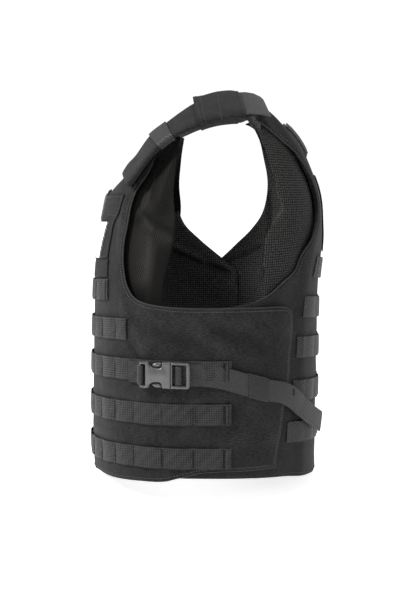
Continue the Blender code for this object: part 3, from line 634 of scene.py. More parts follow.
class Graph:
    """Short names for building one material's nodes."""

    def __init__(self, material):
        self.tree = material.node_tree
        self.shader = self.tree.nodes["Principled BSDF"]

    def node(self, kind, **values):
        node = self.tree.nodes.new(kind)
        for key, value in values.items():
            if key in node.inputs:
                node.inputs[key].default_value = value
            else:
                setattr(node, key, value)
        return node

    def link(self, source, target):
        self.tree.links.new(source, target)

    def math(self, operation, first, second=None):
        node = self.node("ShaderNodeMath", operation=operation)
        for socket, value in zip(node.inputs, (first, second)):
            if value is None:
                continue
            if isinstance(value, (int, float)):
                socket.default_value = value
            else:
                self.link(value, socket)
        return node.outputs[0]

    def mix(self, *parts):
        """The sum of some values, each given with its share."""
        total = None
        for value, share in parts:
            part = self.math("MULTIPLY", value, share)
            total = part if total is None else self.math("ADD", total, part)
        return total

    def turned(self, where, degrees):
        node = self.node("ShaderNodeMapping")
        node.inputs["Rotation"].default_value = (0, 0, math.radians(degrees))
        self.link(where, node.inputs["Vector"])
        return node.outputs[0]

    def uv(self):
        return self.node("ShaderNodeUVMap", uv_map="cloth").outputs[0]

    def place(self):
        return self.node("ShaderNodeTexCoord").outputs["Object"]

    def noise(self, where, scale, detail=3.0, roughness=0.55):
        node = self.node("ShaderNodeTexNoise", Scale=scale, Detail=detail, Roughness=roughness)
        self.link(where, node.inputs["Vector"])
        return node.outputs["Fac"]

    def ribs(self, where, axis, pitch):
        """0 to 1 across ribs this far apart, in metres, along X or Y of the layout."""
        split = self.node("ShaderNodeSeparateXYZ")
        self.link(where, split.inputs[0])
        phase = self.math("MULTIPLY", split.outputs[axis], 2 * math.pi / pitch)
        wave = self.math("SINE", phase)
        return self.math("ADD", self.math("MULTIPLY", wave, 0.5), 0.5)

    def colours(self, value, dark, light, low=0.3, high=0.7, fold_shade=0.0):
        ramp = self.node("ShaderNodeValToRGB")
        ramp.color_ramp.elements[0].position = low
        ramp.color_ramp.elements[1].position = high
        ramp.color_ramp.elements[0].color = (*dark, 1)
        ramp.color_ramp.elements[1].color = (*light, 1)
        self.link(value, ramp.inputs[0])
        if not fold_shade:
            self.link(ramp.outputs[0], self.shader.inputs["Base Color"])
            return
        # Painted shade and highlight: the colour is scaled by the stored fold height, darker in the hollows
        # and lighter on the ridges
        rise = self.node("ShaderNodeAttribute", attribute_name="crease").outputs["Fac"]
        tone = self.math("MAXIMUM", self.math("ADD", self.math("MULTIPLY", rise, fold_shade), 1.0), 0.3)
        scaled = self.node("ShaderNodeVectorMath", operation="SCALE")
        self.link(ramp.outputs[0], scaled.inputs["Vector"])
        self.link(tone, scaled.inputs["Scale"])
        self.link(scaled.outputs["Vector"], self.shader.inputs["Base Color"])

    def bump(self, height, strength, distance, before=None):
        node = self.node("ShaderNodeBump", Strength=strength, Distance=distance)
        self.link(height, node.inputs["Height"])
        if before is not None:
            self.link(before, node.inputs["Normal"])
        return node.outputs[0]

    def finish(self, normal):
        self.link(normal, self.shader.inputs["Normal"])


def shade(colour, factor):
    return tuple(c * factor for c in colour)


def woven(name, colour, roughness, pitch, depth, mottle=0.55, specular=0.12, wrinkle=0.0):
    """Plain weave: threads both ways at this pitch, with soft patches of wear, and on wrinkled cloth painted
    shade in the fold hollows and painted highlights on the ridges.
    """
    material = new_material(name, colour, roughness, sheen=0.05, specular=specular)
    graph = Graph(material)
    uv = graph.uv()
    first, second = graph.ribs(uv, 0, pitch), graph.ribs(uv, 1, pitch)
    weave = graph.math("MULTIPLY", first, second)
    patches = graph.noise(uv, 45.0, 5.0, 0.6)
    threads = graph.node("ShaderNodeMapping")
    threads.inputs["Scale"].default_value = (0.25, 1, 1)
    graph.link(uv, threads.inputs["Vector"])
    grain = graph.noise(threads.outputs[0], 850.0, 2.0, 0.7)
    value = graph.mix((patches, 0.3), (grain, 0.7))
    # Wrinkled cloth takes painted shade in its fold hollows and painted highlights on its ridges
    fold_shade = 0.16 if wrinkle else 0
    graph.colours(value, shade(colour, 1 - mottle), shade(colour, 1 + mottle), 0.40, 0.60, fold_shade)
    normal = graph.bump(weave, 0.5, depth)
    if wrinkle:
        normal = graph.bump(graph.noise(uv, 28.0, 4.0, 0.5), 0.6, wrinkle, normal)
    graph.finish(normal)
    return material


def squares(name, colour, roughness, pitch, depth):
    """Flat webbing: small raised squares, paler than the lines between, with a diagonal shimmer."""
    material = new_material(name, colour, roughness, sheen=0.05, specular=0.2)
    graph = Graph(material)
    uv = graph.uv()
    cells = graph.math("MULTIPLY", graph.ribs(uv, 0, pitch), graph.ribs(uv, 1, pitch))
    shimmer = graph.ribs(graph.turned(uv, 45), 0, 4.2 * pitch)
    fuzz = graph.noise(uv, 420.0, 3.0, 0.6)
    patches = graph.noise(uv, 40.0, 4.0, 0.6)
    value = graph.mix((cells, 0.5), (fuzz, 0.25), (shimmer, 0.1), (patches, 0.35))
    graph.colours(value, shade(colour, 0.25), shade(colour, 2.3), 0.28, 0.80)
    graph.finish(graph.bump(cells, 0.9, depth))
    return material


def ribbed(name, colour, roughness, along_pitch, across_pitch, depth, mottle=0.6, turn=0):
    """Webbing: ribs that run along the band, crossed by finer threads."""
    material = new_material(name, colour, roughness, sheen=0.05, specular=0.25)
    graph = Graph(material)
    uv = graph.uv()
    if turn:
        uv = graph.turned(uv, turn)
    ribs = graph.ribs(uv, 1, along_pitch)
    threads = graph.ribs(uv, 0, across_pitch)
    height = graph.mix((ribs, 0.75), (threads, 0.25))
    fuzz = graph.noise(uv, 260.0, 3.0, 0.6)
    value = graph.mix((fuzz, 0.5), (height, 0.5))
    graph.colours(value, shade(colour, 1 - mottle), shade(colour, 1 + mottle), 0.25, 0.75)
    graph.finish(graph.bump(height, 0.8, depth))
    return material


def pile(name, colour, roughness):
    """Loop pile: small curls, a little lighter at their tips."""
    material = new_material(name, colour, roughness, sheen=0.05, specular=0.1)
    graph = Graph(material)
    where = graph.uv()
    curls = graph.noise(where, 1100.0, 2.0, 0.7)
    tufts = graph.noise(where, 160.0, 3.0, 0.6)
    value = graph.mix((curls, 0.7), (tufts, 0.3))
    graph.colours(value, shade(colour, 0.5), shade(colour, 2.2), 0.35, 0.68)
    graph.finish(graph.bump(value, 1.0, 0.8 * MM))
    return material


def mesh_knit(name, colour, roughness):
    """Spacer mesh: small round holes in staggered rows, with painted shade in the fold hollows and painted
    highlights on the ridges.
    """
    material = new_material(name, colour, roughness, sheen=0.03, specular=0.1)
    graph = Graph(material)
    where = graph.uv()
    cells = graph.node("ShaderNodeTexVoronoi", Scale=340.0, Randomness=0.2)
    graph.link(where, cells.inputs["Vector"])
    holes = graph.math("MULTIPLY", cells.outputs["Distance"], 1.6)
    graph.colours(holes, shade(colour, 2.4), shade(colour, 0.3), 0.30, 0.75, 0.30)
    graph.finish(graph.bump(holes, 0.9, -1.0 * MM))
    return material


def twill(name, colour, roughness):
    """Diagonal ribs, with painted shade in the fold hollows and painted highlights on the ridges."""
    material = new_material(name, colour, roughness, sheen=0.02, specular=0.08)
    graph = Graph(material)
    where = graph.uv()
    ribs = graph.ribs(graph.turned(where, 58), 1, 2.8 * MM)
    patches = graph.noise(where, 500.0, 3.0, 0.6)
    value = graph.mix((ribs, 0.45), (patches, 0.55))
    graph.colours(value, shade(colour, 0.45), shade(colour, 1.7), 0.3, 0.7, 0.42)
    graph.finish(graph.bump(ribs, 0.7, 0.6 * MM))
    return material


def moulded(name, colour, roughness):
    material = new_material(name, colour, roughness, specular=0.5)
    graph = Graph(material)
    where = graph.place()
    grain = graph.noise(where, 1800.0, 2.0, 0.6)
    marks = graph.noise(where, 90.0, 4.0, 0.6)
    graph.colours(marks, shade(colour, 0.85), shade(colour, 1.15), 0.3, 0.7)
    graph.finish(graph.bump(grain, 0.3, 0.08 * MM))
    return material


def metal(name, colour, roughness):
    material = new_material(name, colour, roughness, metallic=0.9)
    graph = Graph(material)
    wear = graph.noise(graph.place(), 300.0, 4.0, 0.6)
    graph.colours(wear, shade(colour, 0.6), shade(colour, 1.5), 0.35, 0.65)
    graph.finish(graph.bump(wear, 0.2, 0.05 * MM))
    return material


SHELL = woven(
    "shell_fabric_look", (0.0086, 0.0084, 0.0083), 0.8, 1.3 * MM, 0.30 * MM, mottle=0.65, wrinkle=1.6 * MM,
)
WEBBING = squares("webbing_look", (0.0120, 0.0118, 0.0117), 0.65, 2.7 * MM, 0.7 * MM)
STRAP_WEB = ribbed(
    "strap_webbing_look", (0.0125, 0.0123, 0.0122), 0.5, 2.6 * MM, 3.4 * MM, 0.5 * MM, turn=32,
)
TAPE = ribbed("zip_tape_look", (0.008, 0.008, 0.0085), 0.8, 1.0 * MM, 1.0 * MM, 0.15 * MM)
BINDING = ribbed("binding_look", (0.011, 0.011, 0.012), 0.7, 1.2 * MM, 0.9 * MM, 0.2 * MM)
HANDLE_WEB = ribbed(
    "handle_webbing_look", (0.024, 0.0238, 0.0235), 0.35, 1.6 * MM, 3 * MM, 0.4 * MM, mottle=0.3,
)
PILE = pile("loop_pile_look", (0.0058, 0.0056, 0.0055), 0.9)
MESH = mesh_knit("mesh_lining_look", (0.0150, 0.0147, 0.0143), 0.8)
# A paler copy of the mesh lining for the wings: painted light, where the inside of the vest lies in shade
WING_MESH_PAINTED_LIGHT = mesh_knit("wing_mesh_painted_light_look", (0.0360, 0.0350, 0.0340), 0.75)
TWILL = twill("twill_lining_look", (0.0046, 0.0043, 0.0039), 0.75)
SATIN = woven(
    "satin_tab_look", (0.010, 0.010, 0.0105), 0.45, 0.6 * MM, 0.08 * MM, mottle=0.3, specular=0.4,
)
BACK_WEB = ribbed(
    "back_webbing_look", (0.0115, 0.0113, 0.0112), 0.6, 2.8 * MM, 3.6 * MM, 0.9 * MM, mottle=0.85, turn=-25,
)
THREAD = woven("thread_look", (0.055, 0.054, 0.053), 0.6, 0.5 * MM, 0.05 * MM, mottle=0.2)
PLASTIC = moulded("buckle_look", (0.050, 0.050, 0.051), 0.25)
PATCH = woven("patch_look", (0.86, 0.86, 0.86), 0.6, 0.8 * MM, 0.12 * MM, mottle=0.03)
STEEL = metal("zip_metal_look", (0.09, 0.09, 0.095), 0.38)
BORDER = woven("patch_border_look", (0.060, 0.020, 0.020), 0.6, 0.5 * MM, 0.05 * MM, mottle=0.2)


# Front panels

# Ridges and creases of the front shells, as (from, to, half width, lift in millimetres); they also paint
# shade in the creases and highlights on the ridges
FRONT_FOLDS = [
    ((0.189, -0.284), (0.207, -0.305), 3.5 * MM, -2.6),
    ((0.196, -0.262), (0.220, -0.300), 5 * MM, 2.4),
    ((0.200, -0.245), (0.245, -0.262), 6 * MM, 2.0),
    ((0.220, -0.268), (0.286, -0.288), 8 * MM, -1.8),
    ((0.245, -0.250), (0.330, -0.300), 9 * MM, 2.0),
    ((0.280, -0.246), (0.360, -0.272), 7 * MM, 1.6),
    ((0.290, -0.262), (0.372, -0.300), 8 * MM, -1.6),
    ((0.350, -0.250), (0.394, -0.275), 6 * MM, 2.0),
    ((0.255, -0.352), (0.360, -0.335), 9 * MM, 1.6),
    ((0.240, -0.365), (0.330, -0.358), 7 * MM, -1.4),
    ((0.336, -0.345), (0.384, -0.410), 8 * MM, 1.8),
    ((0.300, -0.405), (0.372, -0.395), 7 * MM, 1.6),
    ((0.178, -0.225), (0.190, -0.290), 6 * MM, 1.8),
    ((0.060, -0.4600), (0.250, -0.4460), 3 * MM, -1.0),
    ((0.160, -0.100), (0.166, -0.190), 5 * MM, 1.6),
    ((0.120, -0.345), (0.235, -0.352), 6 * MM, 1.2),
    ((0.060, -0.405), (0.180, -0.398), 6 * MM, 1.2),
]


def on_flap(around):
    start, width = CHEST_TO_FLAP
    return smooth_step((around - start) / width)


def rim_drop(edge):
    """How far a panel's outer face turns down towards its edge."""
    return RIM_DROP * (1 - smooth_step(edge / RIM_WIDTH))


def padding(full, edge):
    """A panel's thickness, from its sewn edge up to its full depth."""
    return PANEL_EDGE + (full - PANEL_EDGE) * smooth_step(edge / PADDED_FROM_EDGE)


def front_relief(around, height):
    """How far the front's outer face stands off the plain body shape."""
    calm = 0.35 + 0.65 * smooth_step((around - 0.19) / 0.04)
    long_waves = turned_noise(around, height, -35, 0.09, 0.022, 3)
    short_waves = turned_noise(around, height, 20, 0.05, 0.016, 8)
    return (0.9 * long_waves + 0.5 * short_waves) * MM * calm + folds(around, height, FRONT_FOLDS)


def front_outer(around, height, edge):
    return front_relief(around, height) * smooth_step(edge / PADDED_FROM_EDGE) - rim_drop(edge)


def front_inner(around, height, edge):
    full = CHEST_THICK + (FLAP_THICK - CHEST_THICK) * on_flap(around)
    return -padding(full, edge)


def on_front(level):
    """A face this far outside the front's outer face."""
    return lambda around, height, edge: level + front_relief(around, height)


FRONT_OUTLINE = [*FRONT_NECK, *FRONT_SHOULDER, *ARMHOLE_FRONT, *FLAP_EDGE, *FRONT_HEM]


def inset_loop(outline, distance):
    """The outline moved inward, for a line of stitching beside an edge."""
    loop = smooth_outline(outline, OUTLINE_STEP)
    ahead = np.roll(loop, -1, axis=0) - np.roll(loop, 1, axis=0)
    ahead /= np.maximum(np.linalg.norm(ahead, axis=1, keepdims=True), 1e-9)
    side = np.stack([-ahead[:, 1], ahead[:, 0]], axis=1)
    x, y = loop[:, 0], loop[:, 1]
    turn = np.dot(x, np.roll(y, -1)) - np.dot(y, np.roll(x, -1))
    moved = loop + side * distance * (1 if turn > 0 else -1)
    kept = edge_distance(moved, loop) > distance * 0.85
    return moved, kept


def kept_runs(moved, kept):
    """The stretches of a loop where every point is kept."""
    runs, run = [], []
    for point, good in zip(np.concatenate([moved, moved[:1]]), np.append(kept, kept[0])):
        if good:
            run.append(point)
            continue
        if len(run) > 3:
            runs.append(np.array(run))
        run = []
    if len(run) > 3:
        runs.append(np.array(run))
    return runs


def edge_stitching(name, outline, distance, outer, mirror, slot="shell_fabric", skip=None):
    """Stitches this far inside an outline, apart from where skip is true of the distance round."""
    moved, kept = inset_loop(outline, distance)
    if skip is not None:
        kept = kept & ~skip(moved[:, 0])
    lines = []
    for run in kept_runs(moved, kept):
        edge = np.full(len(run), distance)
        lines.append(body(run[:, 0], run[:, 1], outer(run[:, 0], run[:, 1], edge) + STITCH_LIFT))
    return dress(stitches(name, lines, THREAD, mirror), slot)


def piping(name, outline, depth, radius, mirror):
    loop = smooth_outline(outline, OUTLINE_STEP)
    path = body(loop[:, 0], loop[:, 1], depth)
    return dress(tube(name, path, radius, BINDING, mirror, closed=True), "webbing")


def make_front():
    for side, mirror in SIDES:
        # The shell's folds paint shade in its creases and highlights on its ridges
        panel = cloth_piece(
            f"front_{side}_shell", FRONT_OUTLINE, front_outer, front_inner, SHELL, mirror,
            creases=lambda a, h: folds(a, h, FRONT_FOLDS),
        )
        dress(panel, "shell_fabric", f"front_{side}_panel")
        piping(f"front_{side}_piping", FRONT_OUTLINE, PIPING_DEPTH, PIPING_RADIUS, mirror)
        edge_stitching(
            f"front_{side}_edge_stitching", FRONT_OUTLINE, EDGE_SEAM, front_outer, mirror,
            skip=lambda around: around < 0.02,
        )


def front_rise(around):
    return FRONT_RISE * smooth_step(np.abs(around) / 0.22)


def back_rise(around):
    return BACK_RISE * smooth_step(np.abs(HALF_GIRTH - around) / 0.2)


# Where the front and the back rows are tacked down, as distances round the body
TACKS = [0.024, 0.061, 0.098, 0.135, 0.168, 0.1985, 0.2354, 0.2722, 0.309]
TACKS_BACK = [0.570, 0.533, 0.496, 0.459, 0.425]


def loops_lift(around, tacks, height):
    """Each loop between two tacks bows out a little."""
    around = np.asarray(around, float)
    total = np.zeros(around.shape)
    for first, second in zip(tacks, tacks[1:]):
        low, high = min(first, second), max(first, second)
        share = np.clip((around - low) / (high - low), 0, 1)
        total = np.maximum(total, height * np.sin(math.pi * share))
    return total


def steps_to(start, end):
    """Distances round the body from start to end, close enough together for a row of webbing."""
    return np.append(np.arange(start, end, ROW_STEP), end)


def tack_lines(around, top, rise, depth, zig=0.9 * MM):
    """A bar tack across a row: a narrow zigzag."""
    count = 15
    heights = np.linspace(top - WEB_WIDTH + 1.6 * MM, top - 1.6 * MM, count) + rise
    arounds = around + zig * np.where(np.arange(count) % 2, 1, -1)
    return body(arounds, heights, depth)


def make_front_rows():
    for number, (top, end) in enumerate(FRONT_ROWS, 1):
        for side, mirror in SIDES:
            around = steps_to(ROW_START, end)
            centre = np.stack([around, top - WEB_WIDTH / 2 + front_rise(around)], axis=1)
            relief = front_relief(around, centre[:, 1])
            tacks = [t for t in TACKS if t < end - 0.004] + [end - 0.004]
            lift = loops_lift(around, tacks, 1.8 * MM)
            fold = smooth_step((around - end + 0.010) / 0.003) * 1.0 * MM
            depth = GAP + relief + lift
            name = f"front_{side}_row_{number}"
            row = band(name, centre, WEB_WIDTH, depth, WEB_THICK + fold, WEBBING, mirror)
            dress(row, "webbing", f"front_{side}_webbing_{number}")
            lines = []
            for tack in [t for t in TACKS if t < end - 0.006] + [end - 0.0035, end - 0.009]:
                near = np.array([tack])
                thick = WEB_THICK + (1.0 * MM if tack > end - 0.010 else 0)
                level = GAP + front_relief(near, near * 0 + top - WEB_WIDTH / 2)[0] + thick + 0.2 * MM
                lines.append(tack_lines(tack, top, front_rise(tack), level))
            marks = stitches(f"{name}_tacks", lines, PILE, mirror, 1.9 * MM, 2.0 * MM, 0.9 * MM)
            dress(marks, "webbing")


def oval(half_width, half_height):
    """A round outline about the eyelet's place."""
    around, height = EYELET_PLACE
    turns = [k * math.pi / 8 for k in range(16)]
    return [(around + half_width * math.cos(t), height + half_height * math.sin(t)) for t in turns]


EYELET_PLACE = (0.1708, -0.1022)
EYELET = oval(4.4 * MM, 3.6 * MM)
EYELET_HOLE = oval(3.3 * MM, 2.5 * MM)
CHEST_SEAM = ((0.1149, -0.1389), (0.1500, -0.1377))


def make_chest():
    top, end, width = LOOP_STRIP
    over_pile = GAP + LOOP_THICK
    for side, mirror in SIDES:
        panel = cloth_piece(
            f"{side}_chest_pile", CHEST_LOOP, on_front(over_pile), on_front(GAP),
            PILE, mirror, roll=0.4 * MM,
        )
        dress(panel, "loop_pile", f"{side}_chest_loop")
        edge_stitching(
            f"{side}_chest_stitching", CHEST_LOOP, 2.5 * MM, on_front(over_pile), mirror, "loop_pile"
        )
        around = steps_to(ROW_START, end)
        centre = np.stack([around, top - width / 2 + front_rise(around)], axis=1)
        depth = GAP + front_relief(around, centre[:, 1])
        strip = band(f"{side}_pile_strip", centre, width, depth, LOOP_THICK, PILE, mirror)
        dress(strip, "loop_pile", f"{side}_loop_strip")
        seam = np.linspace(*CHEST_SEAM, 12)
        level = over_pile + front_relief(seam[:, 0], seam[:, 1]) + STITCH_LIFT
        sewn = stitches(f"{side}_chest_seam", [body(seam[:, 0], seam[:, 1], level)], THREAD, mirror)
        dress(sewn, "loop_pile")
        ring = cloth_piece(
            f"{side}_neck_eyelet", EYELET, on_front(1.4 * MM), on_front(0.2 * MM),
            TAPE, mirror, spacing=1.5 * MM, roll=0.3 * MM, holes=(EYELET_HOLE,),
        )
        dress(ring, "zip")
        # A dark disc fills the eyelet's hole: painted shade, standing in for the shade inside the hole
        plug = cloth_piece(
            f"{side}_eyelet_hole_shade", EYELET_HOLE, on_front(0.5 * MM), on_front(0.15 * MM),
            PILE, mirror, spacing=1.5 * MM, roll=0.2 * MM,
        )
        dress(plug, "zip")
    under = 2 * GAP + LOOP_THICK
    rim = smooth_outline(ID_PATCH, 3 * MM)
    level = under + PATCH_THICK * 0.8 + front_relief(rim[:, 0], rim[:, 1])
    cord = tube("patch_border", body(rim[:, 0], rim[:, 1], level), 0.5 * MM, BORDER, closed=True)
    dress(cord, "patch")
    patch = cloth_piece(
        "blank_patch", ID_PATCH, on_front(under + PATCH_THICK), on_front(under), PATCH, roll=0.3 * MM,
    )
    dress(patch, "patch", "id_patch")


# Back

def from_front(around):
    """The shorter way round to the middle of the front."""
    return np.minimum(around, 2 * HALF_GIRTH - around)


def past_flap(around):
    start, width = WING_TO_BACK
    return smooth_step((from_front(around) - start) / width)


def wing_level(around):
    """The back's wings lie deeper than the body shape, under the flaps."""
    return -WING_DROP * (1 - past_flap(around))


def back_relief(around, height):
    long_waves = turned_noise(around, height, 25, 0.10, 0.028, 21)
    short_waves = turned_noise(around, height, -50, 0.06, 0.02, 5)
    return (long_waves + 0.5 * short_waves) * 0.7 * MM * past_flap(around)


def back_outer(around, height, edge):
    relief = back_relief(around, height) * smooth_step(edge / PADDED_FROM_EDGE)
    return wing_level(around) + relief - rim_drop(edge)


def back_inner(around, height, edge):
    full = WING_THICK + (CHEST_THICK - WING_THICK) * past_flap(around)
    return wing_level(around) - padding(full, edge)


def on_back(level):
    """A face this far outside the back's outer face."""
    return lambda around, height, edge: level + back_relief(around, height)


def mirror_outline(outline, other=None):
    other = other or outline
    return outline + [(2 * HALF_GIRTH - around, height) for around, height in reversed(other[1:-1])]


def back_lining_outline():
    left, right = (BACK_LINING_TOP + BACK_LINING_EDGE[side] + BACK_LINING_HEM for side in ("left", "right"))
    return mirror_outline(left, right)


def make_back():
    outline = mirror_outline(BACK_NECK + ARMHOLE_BACK + BACK_HEM)
    panel = cloth_piece("back_shell", outline, back_outer, back_inner, SHELL)
    dress(panel, "shell_fabric", "back_panel")
    loop = smooth_outline(outline, OUTLINE_STEP)
    path = body(loop[:, 0], loop[:, 1], wing_level(loop[:, 0]) + PIPING_DEPTH)
    for k, run in enumerate(kept_runs(path, from_front(loop[:, 0]) > 0.345), 1):
        dress(tube(f"back_piping_{k}", run, PIPING_RADIUS, BINDING), "webbing")
    edge_stitching(
        "back_edge_stitching", outline, EDGE_SEAM, back_outer, 1,
        skip=lambda around: from_front(around) < 0.40,
    )
    for number, (top, end) in enumerate(BACK_ROWS, 1):
        around = steps_to(end, 2 * HALF_GIRTH - end)
        centre = np.stack([around, top - WEB_WIDTH / 2 + back_rise(around)], axis=1)
        edge = np.full(len(around), 0.05)
        tacks = [t for t in TACKS_BACK if t > end + 0.006] + [end + 0.004]
        tacks = sorted(set(tacks + [2 * HALF_GIRTH - t for t in tacks]))
        depth = back_outer(around, centre[:, 1], edge) + GAP + loops_lift(around, tacks, 1.6 * MM)
        row = band(f"back_row_{number}", centre, WEB_WIDTH, depth, WEB_THICK, BACK_WEB)
        dress(row, "webbing", f"back_webbing_{number}")
        lines = []
        for tack in tacks:
            near = np.array([tack])
            face = back_outer(near, near * 0 + top - WEB_WIDTH / 2, near * 0 + 0.05)[0]
            lines.append(tack_lines(tack, top, back_rise(tack), face + GAP + WEB_THICK + 0.2 * MM))
        marks = stitches(f"back_row_{number}_tacks", lines, THREAD, 1, 1.9 * MM, 2.0 * MM, 0.45 * MM)
        dress(marks, "webbing")
    panel = cloth_piece(
        "back_pile", BACK_LOOP, on_back(GAP + LOOP_THICK), on_back(GAP), PILE, roll=0.4 * MM,
    )
    dress(panel, "loop_pile", "back_loop_panel")
    around = np.arange(HANDLE_SPAN[0], HANDLE_SPAN[1] + 1e-6, 2.5 * MM)
    from_middle = np.abs(around - HALF_GIRTH)
    relief = back_relief(around, around * 0 - 0.06) * 0.5
    depth = GAP + HANDLE_LIFT * smooth_step((0.058 - from_middle) / 0.034) + relief
    crumple = turned_noise(around, around * 0 + 0.3, 40, 0.03, 0.012, 77)
    depth = depth + 1.6 * MM * crumple * smooth_step((0.05 - from_middle) / 0.02)
    centre = np.stack([around, HANDLE_HEIGHT + 2 * MM * crumple], axis=1)
    handle = band("handle_webbing", centre, HANDLE_WIDTH, depth, HANDLE_THICK, HANDLE_WEB)
    dress(handle, "webbing", "drag_handle")


# Linings

# Folds of the front linings: they shape the lining and also paint shade in its hollows and highlights on its
# ridges
TWILL_FOLDS = [
    ((0.176, -0.100), (0.181, -0.128), 4 * MM, 2.6),
    ((0.188, -0.138), (0.2135, -0.1523), 5 * MM, 3.2),
    ((0.2135, -0.1523), (0.243, -0.163), 4 * MM, 2.4),
    ((0.188, -0.127), (0.2135, -0.1403), 5 * MM, -2.6),
    ((0.2135, -0.1403), (0.243, -0.152), 4 * MM, -1.8),
    ((0.205, -0.156), (0.203, -0.215), 8 * MM, 3.4),
    ((0.228, -0.165), (0.222, -0.236), 7 * MM, -2.6),
    ((0.174, -0.075), (0.194, -0.103), 6 * MM, 2.4),
    ((0.196, -0.103), (0.186, -0.132), 6 * MM, 2.8),
    ((0.190, -0.060), (0.207, -0.120), 6 * MM, -2.0),
    ((0.217, -0.052), (0.219, -0.125), 5 * MM, 1.6),
    ((0.197, -0.152), (0.197, -0.195), 12 * MM, 2.2),
    ((0.183, -0.085), (0.190, -0.128), 8 * MM, 2.2),
    ((0.224, -0.060), (0.226, -0.138), 14 * MM, -2.4),
    ((0.168, -0.140), (0.190, -0.142), 6 * MM, -2.6),
    ((0.162, -0.215), (0.212, -0.232), 15 * MM, -2.2),
    ((0.240, -0.172), (0.232, -0.235), 8 * MM, -1.6),
]
# Folds of the mesh wings: they shape the wings and also paint shade in their hollows and highlights on their
# ridges
MESH_FOLDS = [
    ((0.228, -0.200), (0.286, -0.2245), 4 * MM, -2.2),
    ((0.286, -0.2245), (0.334, -0.240), 4 * MM, -2.0),
    ((0.232, -0.193), (0.286, -0.2165), 4 * MM, 1.6),
]
# These lie on the far side of the back, so they are given round from the front on that side
# They shape the far half of the back lining and also paint shade in its creases and highlights on its ridges
BACK_FOLDS = [
    ((0.316, -0.225), (0.377, -0.1985), 3 * MM, -1.8),
    ((0.379, -0.110), (0.384, -0.187), 4 * MM, -2.2),
    ((0.384, -0.187), (0.381, -0.255), 4 * MM, -2.0),
    ((0.391, -0.020), (0.390, -0.060), 5 * MM, -1.6),
    ((0.399, -0.116), (0.411, -0.143), 4 * MM, 2.4),
    ((0.411, -0.143), (0.386, -0.175), 4 * MM, 2.0),
    ((0.430, -0.060), (0.455, -0.230), 8 * MM, 1.8),
]


def rolled_rim(edge, width, lift):
    """A padded roll beside an edge, this wide and this tall."""
    across = np.clip(edge / width, 0, 1)
    return lift * np.sqrt(np.clip(1 - (2 * across - 1) ** 2, 0, 1))


def make_linings():
    outline = [*LINING_NECK, *LINING_EDGE, *LINING_HEM]

    def loose(around, height, seed):
        return 1.2 * MM * turned_noise(around, height, 70, 0.06, 0.018, seed)

    def twill_folds(around, height):
        return folds(around, height, TWILL_FOLDS) + loose(around, height, 31)

    def twill_depth(around, height, edge):
        free = smooth_step((around - 0.168) / 0.012) * smooth_step(edge / 0.006)
        return FRONT_LINING_DEPTH - np.maximum(twill_folds(around, height), -0.3 * MM) * free

    # Painted light and shade on the mesh wings: shade in the fold hollows, a painted highlight along the
    # rolled rim below the top edge, and painted shade that deepens further below it
    def wing_painted_shading(around, height):
        top = np.array([(a, h) for a, h in WING["right"] if h > -0.25])
        from_top = np.interp(around, top[:, 0], top[:, 1]) - height
        roll = np.exp(-(((from_top - 5 * MM) / (3 * MM)) ** 2)) * 2.2 * MM
        deeper_painted_shade = 1.0 * MM * smooth_step((from_top - 0.02) / 0.05)
        return folds(around, height, MESH_FOLDS) * 1.3 + roll - deeper_painted_shade

    # Painted light and shade on the back lining: shade in the far half's creases, highlights on its ridges,
    # and painted light over the far half, which lies in shade
    def back_painted_shading(around, height):
        marks = folds(2 * HALF_GIRTH - around, height, BACK_FOLDS) * 1.6
        far_painted_light = 3.2 * MM * smooth_step((around - HALF_GIRTH) / 0.1)
        return np.where(around > HALF_GIRTH, marks + far_painted_light, 0.0)

    def wing_depth(around, height, edge):
        high = smooth_step((height + 0.262) / 0.01)
        raised = rolled_rim(edge, 9 * MM, 2.6 * MM) + folds(around, height, MESH_FOLDS)
        return INNER_WING_DEPTH - raised * high

    def back_depth(around, height, edge):
        far = np.where(around > HALF_GIRTH, 1.0, 0.0)
        creases = folds(2 * HALF_GIRTH - around, height, BACK_FOLDS) * far
        return BACK_LINING_DEPTH - (creases + loose(around, height, 55) * 0.4) * smooth_step(edge / 0.006)

    for side, mirror in SIDES:
        lining = cloth_piece(
            f"front_{side}_twill", outline, lambda a, h, e: twill_depth(a, h, e) + LINING_THICK,
            twill_depth, TWILL, mirror, spacing=3.2 * MM, creases=twill_folds,
        )
        dress(lining, "twill_lining", f"front_{side}_lining")
        wing = cloth_piece(
            f"{side}_mesh_wing", WING[side], flat(INNER_WING_DEPTH + INNER_WING_THICK),
            wing_depth, WING_MESH_PAINTED_LIGHT, mirror, spacing=3.2 * MM, creases=wing_painted_shading,
        )
        dress(wing, "mesh_lining", f"{side}_inner_wing")
    lining = cloth_piece(
        "back_mesh", back_lining_outline(), flat(BACK_LINING_DEPTH + LINING_THICK),
        back_depth, MESH, spacing=3.6 * MM, creases=back_painted_shading,
    )
    dress(lining, "mesh_lining", "back_lining")


# Zip

# The loose end of each zip tape, above the neckline
ZIP_TAIL = [
    (0.001, -0.122), (0.001, -0.1165), (0.003, -0.1140), (0.006, -0.1170), (0.010, -0.1132), (0.014, -0.1165),
    (0.019, -0.1128), (0.024, -0.1160), (0.026, -0.122),
]
ZIP_PULLER = [
    (-0.0040, -0.118), (0.0040, -0.118), (0.0044, -0.127), (0.0020, -0.132), (0.0024, -0.150), (0, -0.153),
    (-0.0024, -0.150), (-0.0020, -0.132), (-0.0044, -0.127),
]

TAPE_HEIGHTS = (-0.474, -0.119)
TEETH_HEIGHTS = (-0.4715, -0.1325)
TOOTH_PITCH = 1.6 * MM
TOOTH_TALL = 1.3 * MM
TOOTH_HALF_WIDTH = 1.7 * MM
TOOTH_SHIFT = 0.7 * MM
TOOTH_DEPTHS = (-1.2 * MM, 1.9 * MM)
BOX_FACES = ((0, 1, 3, 2), (4, 6, 7, 5), (0, 4, 5, 1), (2, 3, 7, 6), (0, 2, 6, 4), (1, 5, 7, 3))


